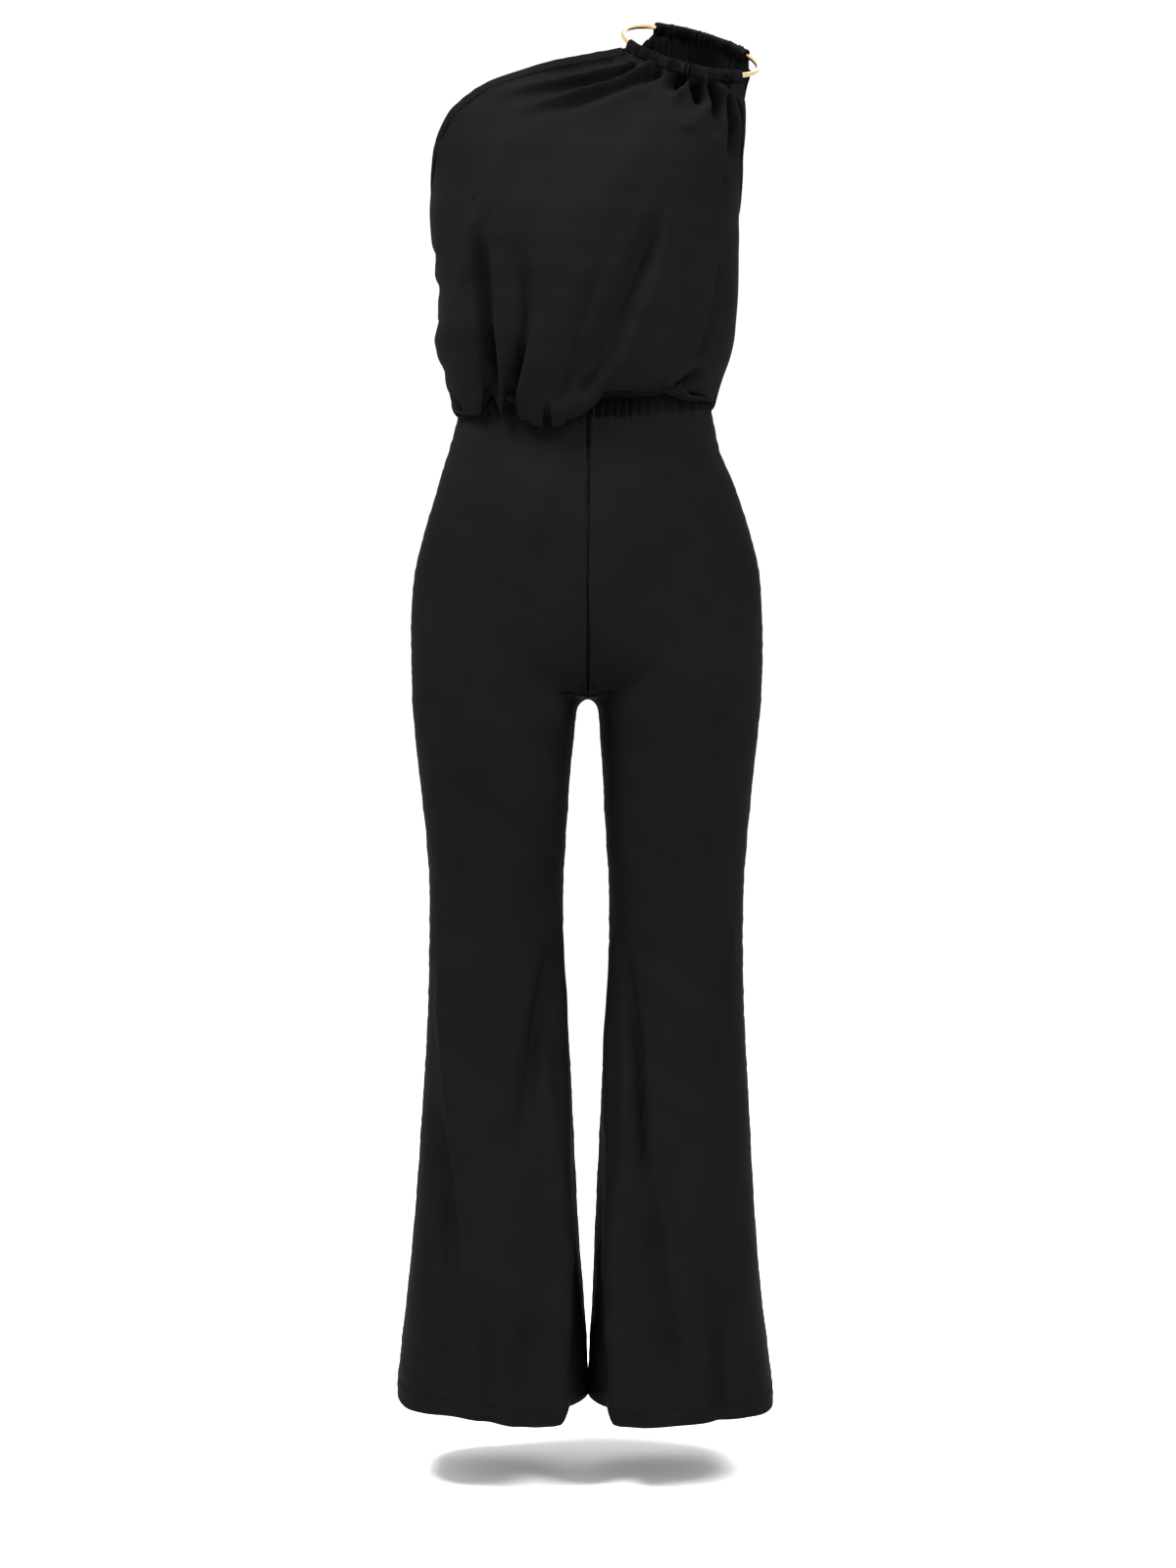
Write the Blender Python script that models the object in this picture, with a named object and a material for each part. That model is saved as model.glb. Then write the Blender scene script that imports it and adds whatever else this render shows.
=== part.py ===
"""One-shoulder blouson jumpsuit in black stretch knit, in the form it takes when worn.

Every piece that is cut and sewn is a thin closed wall with its own object: bodice front and back,
the two gathered casings that run on the shoulder hoop, neckline and armhole bindings, the gathered
waist elastic, and four flared trouser panels. Neck, armhole and both hems stay open.

Lengths are metres. The garment is worked out in its own sewing frame: x across, + towards the
wearer's left; y front to back, the front is negative; z up from the lowest point of the hem.
All objects hang from one empty that carries the sewing frame to the shoulder, where it is held.
"""
import math

import bpy
import numpy as np

# ---------------------------------------------------------------- driving dimensions
CLOTH = 0.0015             # wall of the knit
SEAM = 0.0003              # gap where two pieces are sewn together
HALF_SEAM = SEAM / 2
ROUND = 2.3                # exponent of the body's ovals, 2 is an ellipse
HOLD_POINT = (0.1085, 0.0285, 1.3510)   # crest of the wearer's left shoulder

CROTCH_HEIGHT = 0.702
ARCH_RADIUS = 0.016        # rounding at the top of the gap between the legs
RISE_BLEND = 0.150         # height over which two legs become one seat
CROTCH_EASE = 0.050        # height over which the panels' columns settle round the crotch
HEM_FADE = 0.110           # height over which the hem's curve dies out
WAIST_FADE = 0.080
TROUSER_TOP = 0.985        # before the dip of the waist seam
ROWS_ABOVE = 12            # rows of a trouser panel above and below the crotch
ROWS_BELOW = 17
ROWS_CLOSER = 1.7          # exponent, 1 spaces the rows evenly
LEG_SEAM_FADE = 0.35       # angle over which leg folds die out at the side seam and the inseam
ELASTIC_WIDTH = 0.016
ELASTIC_GATHERS = 96
ELASTIC_RUFFLE = 0.0008

CHEST_HEIGHT = 1.090       # from here the bodice columns fan out to the top edge
POUCH_ROLL = 0.0045        # rise of the roll where the bodice leaves the elastic
POUCH_TURN = 0.0090        # rise of the turn at the pouch's lower edge
POUCH_HEIGHT = 0.034       # from the pouch's lower edge to its full size
INSIDE_ROWS = 5            # rows of the bodice that lie inside the pouch
SIDE_COLUMNS = 3.0         # columns over which bodice folds die out at the side seams
FOLD_END = 0.04            # share of a fold's length where its blunt end starts
FOLD_TAPER = 0.6           # exponent, smaller keeps a fold high for longer
BINDING_WIDTH = 0.0060
BINDING_CLOTH = 0.0012

HOOP_RADIUS = 0.068        # to the middle of the wire
HOOP_WIRE = 0.0022         # radius of the wire
HOOP_CENTRE = np.array([0.1005, -0.0320, 1.3355])
HOOP_SLOPE = math.radians(15.3)   # falls outwards with the shoulder
HOOP_TILT = math.radians(27.0)    # falls forwards onto the chest
CASING_CLOTH = 0.0013
CASING_HALF_WIDTH = 0.0058        # at the top of its section
CASING_NARROWING = 0.0020         # taken off the half width at its lower edge
CASING_SQUARE = 0.6               # exponent, 1 makes the section an ellipse
CASING_PUCKER = 0.0005            # in and out with each gather
CASING_MOUTH = 0.0010             # taken off its reach at both open ends
HANG_OUT = 0.4                    # cloth leaves the wire mostly down and a little outwards
HANG_DOWN = 0.8


def table(columns, *rows):
    """Rows with named columns, so that a value is read by its name."""
    return np.array([tuple(row) for row in rows], dtype=[(name, float) for name in columns.split()])


# Trouser sections: half widths from the centre line to the side of each leg, the inner edge
# of each leg below the crotch, and the depth in front of and behind the side seams.
TROUSERS = table(
    "height side_right side_left inner_right inner_left front back",
    (-0.020, 0.1895, 0.1835, 0.0004, 0.0004, 0.1055, 0.1020),
    (0.020, 0.1880, 0.1818, 0.0006, 0.0007, 0.1040, 0.1010),
    (0.064, 0.1840, 0.1770, 0.0016, 0.0020, 0.1020, 0.1000),
    (0.112, 0.1785, 0.1710, 0.0049, 0.0049, 0.0990, 0.0980),
    (0.170, 0.1727, 0.1660, 0.0095, 0.0070, 0.0940, 0.0950),
    (0.229, 0.1678, 0.1622, 0.0126, 0.0097, 0.0890, 0.0910),
    (0.287, 0.1639, 0.1592, 0.0155, 0.0126, 0.0840, 0.0870),
    (0.345, 0.1600, 0.1560, 0.0184, 0.0155, 0.0790, 0.0820),
    (0.403, 0.1572, 0.1533, 0.0222, 0.0194, 0.0750, 0.0780),
    (0.462, 0.1562, 0.1524, 0.0250, 0.0213, 0.0730, 0.0760),
    (0.520, 0.1562, 0.1535, 0.0250, 0.0212, 0.0755, 0.0820),
    (0.578, 0.1605, 0.1580, 0.0216, 0.0176, 0.0815, 0.0910),
    (0.636, 0.1672, 0.1638, 0.0176, 0.0147, 0.0885, 0.1010),
    (0.694, 0.1727, 0.1700, 0.0118, 0.0108, 0.0955, 0.1120),
    (0.734, 0.1738, 0.1718, 0.0110, 0.0105, 0.0990, 0.1200),
    (0.792, 0.1737, 0.1710, 0.0110, 0.0105, 0.1040, 0.1240),
    (0.830, 0.1698, 0.1680, 0.0110, 0.0105, 0.1060, 0.1210),
    (0.869, 0.1600, 0.1582, 0.0110, 0.0105, 0.1060, 0.1140),
    (0.908, 0.1484, 0.1455, 0.0110, 0.0105, 0.1030, 0.1040),
    (0.947, 0.1368, 0.1295, 0.0110, 0.0105, 0.0970, 0.0940),
    (0.966, 0.1310, 0.1250, 0.0110, 0.0105, 0.0940, 0.0905),
    (0.985, 0.1265, 0.1218, 0.0110, 0.0105, 0.0915, 0.0880),
    (1.015, 0.1240, 0.1190, 0.0110, 0.0105, 0.0895, 0.0860),
)
# How far from the inseam the centre seams have come, as a share of the depth.
RISE = table(
    "above front back",
    (0.000, 0.00, 0.00),
    (0.004, 0.30, 0.30),
    (0.013, 0.55, 0.56),
    (0.027, 0.74, 0.75),
    (0.045, 0.87, 0.88),
    (0.070, 0.955, 0.96),
    (0.105, 0.994, 0.995),
    (0.150, 1.00, 1.00),
)
# Angles run from the wearer's left side (0) over the front (90), the right side (180)
# and the back (270). The waist seam dips in front.
WAIST = table(
    "angle height",
    (0, 0.9875), (45, 0.9790), (70, 0.9730), (90, 0.9705), (115, 0.9720), (150, 0.9780),
    (180, 0.9820), (225, 0.9840), (270, 0.9850), (315, 0.9860), (360, 0.9875),
)
# The pouch of the blouson hangs low on the right half of the front and short on the left.
OVERHANG = table(
    "angle height",
    (0, 1.0060), (20, 1.0080), (40, 1.0110), (56, 0.9975), (70, 0.9915), (82, 0.9900),
    (90, 0.9715), (98, 0.9600), (112, 0.9610), (122, 0.9690), (142, 0.9745), (160, 0.9760),
    (180, 0.9830), (215, 0.9740), (250, 0.9690), (290, 0.9700), (330, 0.9870), (360, 1.0060),
)
# Hem height around each leg: 0 at the side seam, 90 in front, 180 at the inseam, 270 behind.
HEM = table(
    "angle right left",
    (0, 0.0220, 0.0140), (15, 0.0160, 0.0080), (30, 0.0120, 0.0062), (50, 0.0110, 0.0070),
    (75, 0.0104, 0.0062), (90, 0.0060, 0.0038), (102, 0.0015, 0.0012), (113, 0.0000, -0.0005),
    (122, 0.0035, 0.0025), (132, 0.0100, 0.0088), (145, 0.0145, 0.0140), (180, 0.0140, 0.0140),
    (225, 0.0020, 0.0020), (270, -0.0020, -0.0020), (315, 0.0050, 0.0020), (360, 0.0220, 0.0140),
)
# Bodice sections, worn loose over a general figure; above the underarm they are the form
# that the front and back panels lie on.
BODICE = table(
    "height side_right side_left front back",
    (0.950, 0.1300, 0.1230, 0.1150, 0.1010),
    (0.980, 0.1345, 0.1270, 0.1190, 0.1040),
    (1.000, 0.1375, 0.1285, 0.1230, 0.1065),
    (1.020, 0.1420, 0.1335, 0.1275, 0.1095),
    (1.038, 0.1478, 0.1398, 0.1300, 0.1115),
    (1.054, 0.1500, 0.1436, 0.1320, 0.1130),
    (1.073, 0.1480, 0.1456, 0.1335, 0.1140),
    (1.102, 0.1480, 0.1478, 0.1345, 0.1150),
    (1.131, 0.1510, 0.1484, 0.1340, 0.1155),
    (1.160, 0.1548, 0.1484, 0.1320, 0.1160),
    (1.185, 0.1560, 0.1486, 0.1285, 0.1160),
    (1.205, 0.1550, 0.1510, 0.1245, 0.1150),
    (1.240, 0.1590, 0.1580, 0.1160, 0.1110),
    (1.280, 0.1640, 0.1640, 0.1010, 0.1020),
    (1.320, 0.1650, 0.1680, 0.0850, 0.0860),
    (1.360, 0.1600, 0.1650, 0.0700, 0.0600),
)
# Top edges, from the right underarm up to the hoop, and from the hoop down to the left underarm.
NECKLINE = {
    "front": table(
        "across depth height",
        (-0.1550, 0.0000, 1.2050), (-0.1538, -0.0220, 1.2200), (-0.1500, -0.0400, 1.2400),
        (-0.1430, -0.0530, 1.2565), (-0.1290, -0.0640, 1.2735), (-0.1050, -0.0740, 1.2900),
        (-0.0850, -0.0790, 1.2983), (-0.0576, -0.0830, 1.3068), (-0.0245, -0.0850, 1.3157),
        (0.0094, -0.0820, 1.3230),
    ),
    "back": table(
        "across depth height",
        (-0.1550, 0.0000, 1.2050), (-0.1500, 0.0300, 1.2200), (-0.1400, 0.0530, 1.2400),
        (-0.1200, 0.0740, 1.2640), (-0.0900, 0.0880, 1.2860), (-0.0500, 0.0930, 1.3060),
        (-0.0100, 0.0880, 1.3220), (0.0260, 0.0700, 1.3370), (0.0480, 0.0420, 1.3500),
    ),
}
ARMHOLE = {
    "front": table(
        "across depth height",
        (0.1505, -0.0720, 1.2790), (0.1520, -0.0660, 1.2580), (0.1518, -0.0560, 1.2350),
        (0.1505, -0.0400, 1.2120), (0.1495, -0.0200, 1.1925), (0.1488, 0.0000, 1.1850),
    ),
    "back": table(
        "across depth height",
        (0.1540, 0.0290, 1.3080), (0.1520, 0.0480, 1.2820), (0.1505, 0.0560, 1.2520),
        (0.1500, 0.0500, 1.2230), (0.1495, 0.0260, 1.1960), (0.1488, 0.0000, 1.1850),
    ),
}
# Casings on the hoop: the stretch of wire that each covers (degrees from the outer end of the
# hoop, positive towards the back), its reach above and below the wire, and its gathers.
CASING = {
    "front": dict(inner=-150.0, outer=-38.0, above=0.0042, below=0.0074, gathers=18),
    "back": dict(inner=127.0, outer=38.0, above=0.0046, below=0.0125, gathers=18),
}
COLUMNS = {
    "front": dict(neckline=13, casing=13, armhole=8),
    "back": dict(neckline=10, casing=8, armhole=7),
}
# Large folds, seen from the front or the back: three points of the fold's line, its half
# width, and its height above the smooth form (troughs are negative).
FOLD_COLUMNS = "x1 z1 x2 z2 x3 z3 width rise"
FOLDS = {
    "front": table(
        FOLD_COLUMNS,
        (-0.096, 1.140, -0.089, 1.055, -0.086, 0.955, 0.011, -0.0085),
        (-0.056, 1.130, -0.066, 1.050, -0.080, 0.965, 0.009, -0.0055),
        (-0.112, 1.170, -0.116, 1.110, -0.132, 1.050, 0.009, 0.0030),
        (0.073, 1.190, 0.035, 1.075, -0.028, 0.955, 0.012, -0.0070),
        (0.078, 1.180, 0.060, 1.095, 0.036, 1.035, 0.012, 0.0030),
        (0.022, 1.130, -0.010, 1.045, -0.034, 0.985, 0.010, -0.0035),
        (0.138, 1.140, 0.128, 1.075, 0.106, 1.015, 0.009, -0.0040),
        (0.080, 1.300, -0.005, 1.270, -0.065, 1.250, 0.008, -0.0050),
        (0.058, 1.306, -0.020, 1.284, -0.075, 1.268, 0.007, 0.0025),
        (0.096, 1.300, 0.088, 1.276, 0.070, 1.256, 0.007, -0.0065),
        (0.112, 1.300, 0.109, 1.266, 0.100, 1.235, 0.007, -0.0075),
        (0.117, 1.290, 0.119, 1.262, 0.108, 1.238, 0.006, 0.0035),
        (0.134, 1.296, 0.139, 1.230, 0.146, 1.190, 0.007, -0.0060),
        (0.130, 1.285, 0.134, 1.225, 0.132, 1.180, 0.006, 0.0030),
    ),
    "back": table(
        FOLD_COLUMNS,
        (-0.090, 1.130, -0.084, 1.055, -0.080, 0.975, 0.012, -0.0050),
        (-0.030, 1.110, -0.040, 1.045, -0.046, 0.975, 0.011, -0.0040),
        (0.040, 1.150, 0.020, 1.065, 0.004, 0.975, 0.012, -0.0050),
        (0.105, 1.140, 0.092, 1.065, 0.080, 0.990, 0.011, -0.0045),
        (0.070, 1.310, 0.010, 1.275, -0.060, 1.245, 0.010, -0.0040),
        (0.100, 1.315, 0.092, 1.270, 0.075, 1.220, 0.009, -0.0045),
        (0.128, 1.300, 0.126, 1.260, 0.122, 1.215, 0.008, -0.0040),
    ),
}
LEG_FOLDS = {
    "front": table(
        FOLD_COLUMNS,
        (-0.040, 0.470, -0.056, 0.360, -0.066, 0.240, 0.018, -0.0040),
        (-0.140, 0.300, -0.136, 0.180, -0.128, 0.060, 0.018, -0.0045),
        (-0.090, 0.260, -0.098, 0.140, -0.104, 0.000, 0.022, 0.0045),
        (-0.040, 0.330, -0.036, 0.180, -0.036, 0.000, 0.016, 0.0040),
        (0.034, 0.450, 0.052, 0.290, 0.066, 0.100, 0.018, -0.0045),
        (0.092, 0.280, 0.100, 0.150, 0.108, 0.000, 0.022, 0.0045),
        (0.136, 0.330, 0.138, 0.200, 0.132, 0.070, 0.018, -0.0040),
        (0.036, 0.300, 0.034, 0.160, 0.036, 0.000, 0.016, 0.0040),
    ),
    "back": table(
        FOLD_COLUMNS,
        (-0.060, 0.480, -0.058, 0.330, -0.052, 0.120, 0.020, -0.0045),
        (-0.118, 0.340, -0.126, 0.200, -0.134, 0.020, 0.020, -0.0045),
        (-0.092, 0.300, -0.094, 0.150, -0.094, 0.000, 0.020, 0.0045),
        (0.060, 0.480, 0.056, 0.330, 0.050, 0.120, 0.020, -0.0045),
        (0.116, 0.360, 0.124, 0.200, 0.130, 0.020, 0.020, -0.0045),
        (0.090, 0.300, 0.092, 0.150, 0.092, 0.000, 0.020, 0.0045),
    ),
}
# Short drag folds gathered into the right side seam.
SIDE_RUCHES = table(
    "height width rise",
    (1.139, 0.007, -0.0022), (1.106, 0.009, -0.0028), (1.070, 0.007, -0.0030),
    (1.026, 0.009, -0.0025), (0.999, 0.007, -0.0020),
)
SIDE_RUCHE_REACH = 0.034


# ---------------------------------------------------------------- curves and ovals
def smooth(rows, key, name, at):
    """Column `name` at the values `at` of column `key`, on a cubic curve through all rows."""
    x, y = rows[key], rows[name]
    slope = np.gradient(y, x)
    at = np.clip(np.asarray(at, float), x[0], x[-1])
    i = np.clip(np.searchsorted(x, at, side="right") - 1, 0, len(x) - 2)
    step = x[i + 1] - x[i]
    t = (at - x[i]) / step
    start = y[i] * (1 + 2 * t) + slope[i] * step * t
    end = y[i + 1] * (3 - 2 * t) - slope[i + 1] * step * (1 - t)
    return (1 - t) ** 2 * start + t ** 2 * end


def ease(t):
    """0 to 1 with level ends."""
    t = np.clip(t, 0.0, 1.0)
    return t * t * (3 - 2 * t)


def power(value):
    """Signed power that turns a circle's sine or cosine into the oval's."""
    return np.sign(value) * np.abs(value) ** (2 / ROUND)


def oval(angle, right, left, front, back):
    """Point (x, y) of a closed body section at an angle from the wearer's left side."""
    x = power(np.cos(angle))
    y = power(np.sin(angle))
    return np.stack([x * np.where(x > 0, left, right), -y * np.where(y > 0, front, back)], axis=-1)


def body_oval(rows, angle, height):
    """Section of a table with side_right, side_left, front and back at some heights."""
    sizes = [smooth(rows, "height", name, height) for name in ("side_right", "side_left", "front", "back")]
    return oval(angle, *sizes)


def by_angle(rows, angle):
    """Height read round the body."""
    return smooth(rows, "angle", "height", np.degrees(angle) % 360.0)


def resample(points, count):
    """Points at even distances along a polyline, both ends kept."""
    reach = np.concatenate([[0.0], np.cumsum(np.linalg.norm(np.diff(points, axis=0), axis=1))])
    wanted = np.linspace(0.0, reach[-1], count)
    return np.stack([np.interp(wanted, reach, points[:, i]) for i in range(points.shape[1])], axis=1)


def curve_through(points, per_span=8):
    """Catmull-Rom curve through points."""
    points = np.asarray(points, float)
    ends = np.vstack([2 * points[0] - points[1], points, 2 * points[-1] - points[-2]])
    t = np.linspace(0, 1, per_span, endpoint=False)[:, None]
    spans = []
    for a, b, c, d in zip(ends[:-3], ends[1:-2], ends[2:-1], ends[3:]):
        spans.append(0.5 * (2 * b + (c - a) * t + (2 * a - 5 * b + 4 * c - d) * t ** 2
                            + (3 * b - 3 * c + d - a) * t ** 3))
    return np.vstack(spans + [points[-1:]])


def fold_rise(rows, x, z):
    """Sum of folds at (x, z): each is a smooth ridge or trough that fades at both ends."""
    total = np.zeros_like(x)
    for row in rows:
        line = curve_through([(row["x1"], row["z1"]), (row["x2"], row["z2"]), (row["x3"], row["z3"])], 12)
        away = np.hypot(x[..., None] - line[:, 0], z[..., None] - line[:, 1])
        nearest = away.argmin(axis=-1)
        gone = nearest / (len(line) - 1)
        taper = np.sin(np.pi * np.clip(gone, FOLD_END, 1 - FOLD_END)) ** FOLD_TAPER
        total += row["rise"] * taper * np.exp(-(away.min(axis=-1) / row["width"]) ** 2)
    return total


# ---------------------------------------------------------------- walls
def unit(vectors):
    return vectors / np.maximum(np.linalg.norm(vectors, axis=-1, keepdims=True), 1e-12)


def grid_normals(points, outward):
    """Unit normals of a grid of points, on the side that `outward` points to."""
    normal = unit(np.cross(np.gradient(points, axis=1), np.gradient(points, axis=0)))
    flip = np.sign(np.median((normal * outward).sum(axis=-1)))
    return normal * flip


def two_triangles(a, b, c, d, crossed=False):
    """Quads a b c d as triangles, cut from a to c, or from b to d where crossed."""
    crossed = np.broadcast_to(crossed, a.shape)
    first = np.stack([a, b, np.where(crossed, d, c)], -1)
    second = np.stack([np.where(crossed, b, a), c, d], -1)
    return np.concatenate([first.reshape(-1, 3), second.reshape(-1, 3)])


def shell(outer, inner, ring=False, crossed=False):
    """Vertices and triangles of a closed wall between two grids; a ring closes on itself."""
    rows, columns = outer.shape[:2]
    index = np.arange(rows * columns).reshape(rows, columns)
    if ring:
        index = np.concatenate([index, index[:, :1]], axis=1)
    far = index + rows * columns
    faces = [
        two_triangles(index[:-1, :-1], index[:-1, 1:], index[1:, 1:], index[1:, :-1], crossed),
        two_triangles(far[:-1, :-1], far[:-1, 1:], far[1:, 1:], far[1:, :-1], crossed)[:, ::-1],
        two_triangles(index[0, 1:], index[0, :-1], far[0, :-1], far[0, 1:]),
        two_triangles(index[-1, :-1], index[-1, 1:], far[-1, 1:], far[-1, :-1]),
    ]
    if not ring:
        faces.append(two_triangles(index[:-1, 0], index[1:, 0], far[1:, 0], far[:-1, 0]))
        faces.append(two_triangles(index[1:, -1], index[:-1, -1], far[:-1, -1], far[1:, -1]))
    return np.concatenate([outer.reshape(-1, 3), inner.reshape(-1, 3)]), np.concatenate(faces)


def volume(points, triangles):
    a, b, c = (points[triangles[:, i]] for i in range(3))
    return (a * np.cross(b, c)).sum() / 6


def add_piece(name, points, triangles, material, frame, soft=True):
    """One named object from a closed mesh, its faces turned outwards."""
    if volume(points, triangles) < 0:
        triangles = triangles[:, ::-1]
    mesh = bpy.data.meshes.new(name)
    mesh.from_pydata(points.tolist(), [], triangles.tolist())
    mesh.materials.append(material)
    if soft:
        mesh.shade_smooth()
    piece = bpy.data.objects.new(name, mesh)
    piece.parent = frame
    bpy.context.collection.objects.link(piece)
    return piece


# ---------------------------------------------------------------- trousers
def leg_sizes(side, height):
    """Centre, outer, inner, front and back reach of one leg's oval, and its centre seam share."""
    name = "left" if side > 0 else "right"
    outer = smooth(TROUSERS, "height", "side_" + name, height)
    inner = smooth(TROUSERS, "height", "inner_" + name, height)
    front = smooth(TROUSERS, "height", "front", height)
    back = smooth(TROUSERS, "height", "back", height)
    below = np.clip(CROTCH_HEIGHT - height, 0.0, None)
    above = np.clip(height - CROTCH_HEIGHT, 0.0, None)
    arch = np.sqrt(1 - (1 - np.clip(below / ARCH_RADIUS, 0.0, 1.0)) ** 2)
    together = 1 - ease(above / RISE_BLEND)
    centre = HALF_SEAM + ((outer + inner) / 2 - HALF_SEAM) * together
    inner = HALF_SEAM + (inner - HALF_SEAM) * arch
    share = {part: np.clip(smooth(RISE, "above", part, above), 0.0, 1.0) for part in ("front", "back")}
    return centre, outer, inner, front, back, share


def leg_point(side, part, angle, height):
    """Point of a leg's outer face; the angle runs from the side seam (0) to the inseam (pi)."""
    centre, outer, inner, front, back, share = leg_sizes(side, height)
    width = (1 - share[part] ** ROUND) ** (1 / ROUND)
    inward = np.where(height < CROTCH_HEIGHT, centre - inner, (centre - HALF_SEAM) / np.maximum(width, 1e-6))
    across = power(np.cos(angle))
    x = side * (centre + across * np.where(across > 0, outer - centre, inward))
    y = power(np.sin(angle)) * (-front if part == "front" else back)
    return np.stack(np.broadcast_arrays(x, y, height), axis=-1)


def leg_end_angle(part, height):
    """Angle where a panel ends: the inseam below the crotch, the centre seam above."""
    above = np.clip(height - CROTCH_HEIGHT, 0.0, None)
    share = np.clip(smooth(RISE, "above", part, above), 0.0, 1.0)
    return math.pi - np.arcsin(share ** (ROUND / 2))


def leg_rows():
    """Heights of the rows from the waist to the hem, close together round the crotch."""
    above = np.linspace(1, 0, ROWS_ABOVE, endpoint=False) ** ROWS_CLOSER
    below = np.linspace(0, 1, ROWS_BELOW) ** ROWS_CLOSER
    return np.concatenate([CROTCH_HEIGHT + (TROUSER_TOP - CROTCH_HEIGHT) * above,
                           CROTCH_HEIGHT * (1 - below)])


def trouser_panel(side, part, columns=12):
    """Outer and inner grids of one trouser panel, from its side seam to its centre and inseam."""
    heights = leg_rows()
    fine = np.linspace(0, 1, 240) * leg_end_angle(part, heights)[:, None]
    path = leg_point(side, part, fine, heights[:, None])
    steps = np.linalg.norm(np.diff(path, axis=1), axis=2)
    reach = np.concatenate([np.zeros((len(heights), 1)), np.cumsum(steps, axis=1)], axis=1)
    inseam = np.where(heights <= CROTCH_HEIGHT, HALF_SEAM, 0.0)
    wide = reach[:, -1] - inseam - HALF_SEAM
    near = np.exp(-((heights[:, None] - heights) / CROTCH_EASE) ** 2)
    even = near @ wide / near.sum(axis=1)
    share = np.linspace(0, 1, columns)
    wanted = HALF_SEAM + even[:, None] * share + (wide - even)[:, None] * share ** 4
    grid_angle = np.stack([np.interp(wanted[row], reach[row], fine[row]) for row in range(len(heights))])
    leg = "left" if side > 0 else "right"
    turn = np.degrees(grid_angle) if part == "front" else 360 - np.degrees(grid_angle)
    hem = smooth(HEM, "angle", leg, turn) * ease(1 - heights[:, None] / HEM_FADE)
    body_angle = grid_angle if side > 0 else math.pi - grid_angle
    body_angle = body_angle if part == "front" else -body_angle
    lift = by_angle(WAIST, body_angle) - SEAM - TROUSER_TOP
    waist = lift * ease(1 - (TROUSER_TOP - heights[:, None]) / WAIST_FADE)
    height = heights[:, None] + hem + waist

    points = leg_point(side, part, grid_angle, height)
    step = 1e-4
    round_way = leg_point(side, part, grid_angle + step, height) - leg_point(side, part, grid_angle - step, height)
    up_way = leg_point(side, part, grid_angle, height + step) - leg_point(side, part, grid_angle, height - step)
    normal = unit(np.cross(round_way, up_way))
    normal *= np.sign(np.median(normal[:, 0, 0] * side))
    fade = ease(grid_angle / LEG_SEAM_FADE) * ease((math.pi - grid_angle) / LEG_SEAM_FADE)
    rise = fold_rise(LEG_FOLDS[part], points[..., 0], points[..., 2]) * fade
    points = points + normal * rise[..., None]
    return points, points - normal * CLOTH


# ---------------------------------------------------------------- hoop and casings
def hoop_axes():
    outwards = np.array([math.cos(HOOP_SLOPE), 0.0, -math.sin(HOOP_SLOPE)])
    backwards = np.array([math.sin(HOOP_SLOPE) * math.sin(HOOP_TILT), math.cos(HOOP_TILT),
                          math.cos(HOOP_SLOPE) * math.sin(HOOP_TILT)])
    return outwards, backwards


def hoop_frame(angle):
    """Wire centre, radial and tangent directions at angles from the hoop's outer end."""
    outwards, backwards = hoop_axes()
    cos, sin = np.cos(angle)[..., None], np.sin(angle)[..., None]
    radial = cos * outwards + sin * backwards
    return HOOP_CENTRE + HOOP_RADIUS * radial, radial, cos * backwards - sin * outwards


def hanging(radial, tangent):
    """Direction in which cloth leaves the wire, square to the wire."""
    way = HANG_OUT * radial - np.array([0.0, 0.0, HANG_DOWN])
    return unit(way - (way * tangent).sum(axis=-1, keepdims=True) * tangent)


def hoop(segments=48, sides=8):
    angle = np.linspace(0, 2 * math.pi, segments, endpoint=False)
    around = np.linspace(0, 2 * math.pi, sides, endpoint=False)
    centre, radial, tangent = hoop_frame(angle)
    upright = np.cross(radial, tangent)
    points = (centre[:, None] + HOOP_WIRE * (np.cos(around)[None, :, None] * radial[:, None]
                                             + np.sin(around)[None, :, None] * upright[:, None]))
    index = np.arange(segments * sides).reshape(segments, sides)
    index = np.pad(index, ((0, 1), (0, 1)), mode="wrap")
    triangles = two_triangles(index[:-1, :-1], index[:-1, 1:], index[1:, 1:], index[1:, :-1])
    return points.reshape(-1, 3), triangles


def casing(part, sides=10):
    """Gathered tunnel of cloth round the wire, a drop-shaped tube open at both ends."""
    size = CASING[part]
    stations = 2 * size["gathers"] + 1
    angle = np.radians(np.linspace(size["inner"], size["outer"], stations))
    centre, radial, tangent = hoop_frame(angle)
    down = hanging(radial, tangent)
    aside = np.cross(down, tangent)
    pucker = np.where(np.arange(stations) % 2 == 0, -CASING_PUCKER, CASING_PUCKER)[:, None]
    mouth = np.zeros((stations, 1))
    mouth[[0, -1]] = CASING_MOUTH
    around = np.linspace(0, 2 * math.pi, sides, endpoint=False)[None, :]
    walls = []
    for inset in (0.0, CASING_CLOTH):
        above = size["above"] + pucker - inset
        below = size["below"] - mouth - inset
        drop = (below - above) / 2 - (below + above) / 2 * np.cos(around)
        lower = (drop + above) / (below + above)
        width = CASING_HALF_WIDTH - CASING_NARROWING * lower + pucker - inset
        sideways = np.sign(np.sin(around)) * np.abs(np.sin(around)) ** CASING_SQUARE * width
        walls.append(centre[:, None] + drop[..., None] * down[:, None] + sideways[..., None] * aside[:, None])
    return shell(*walls, ring=True)


def casing_edge(part, count):
    """Line just below the casing, where the bodice is sewn to it."""
    size = CASING[part]
    centre, radial, tangent = hoop_frame(np.radians(np.linspace(size["inner"], size["outer"], count)))
    return centre + (size["below"] + SEAM) * hanging(radial, tangent)


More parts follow.
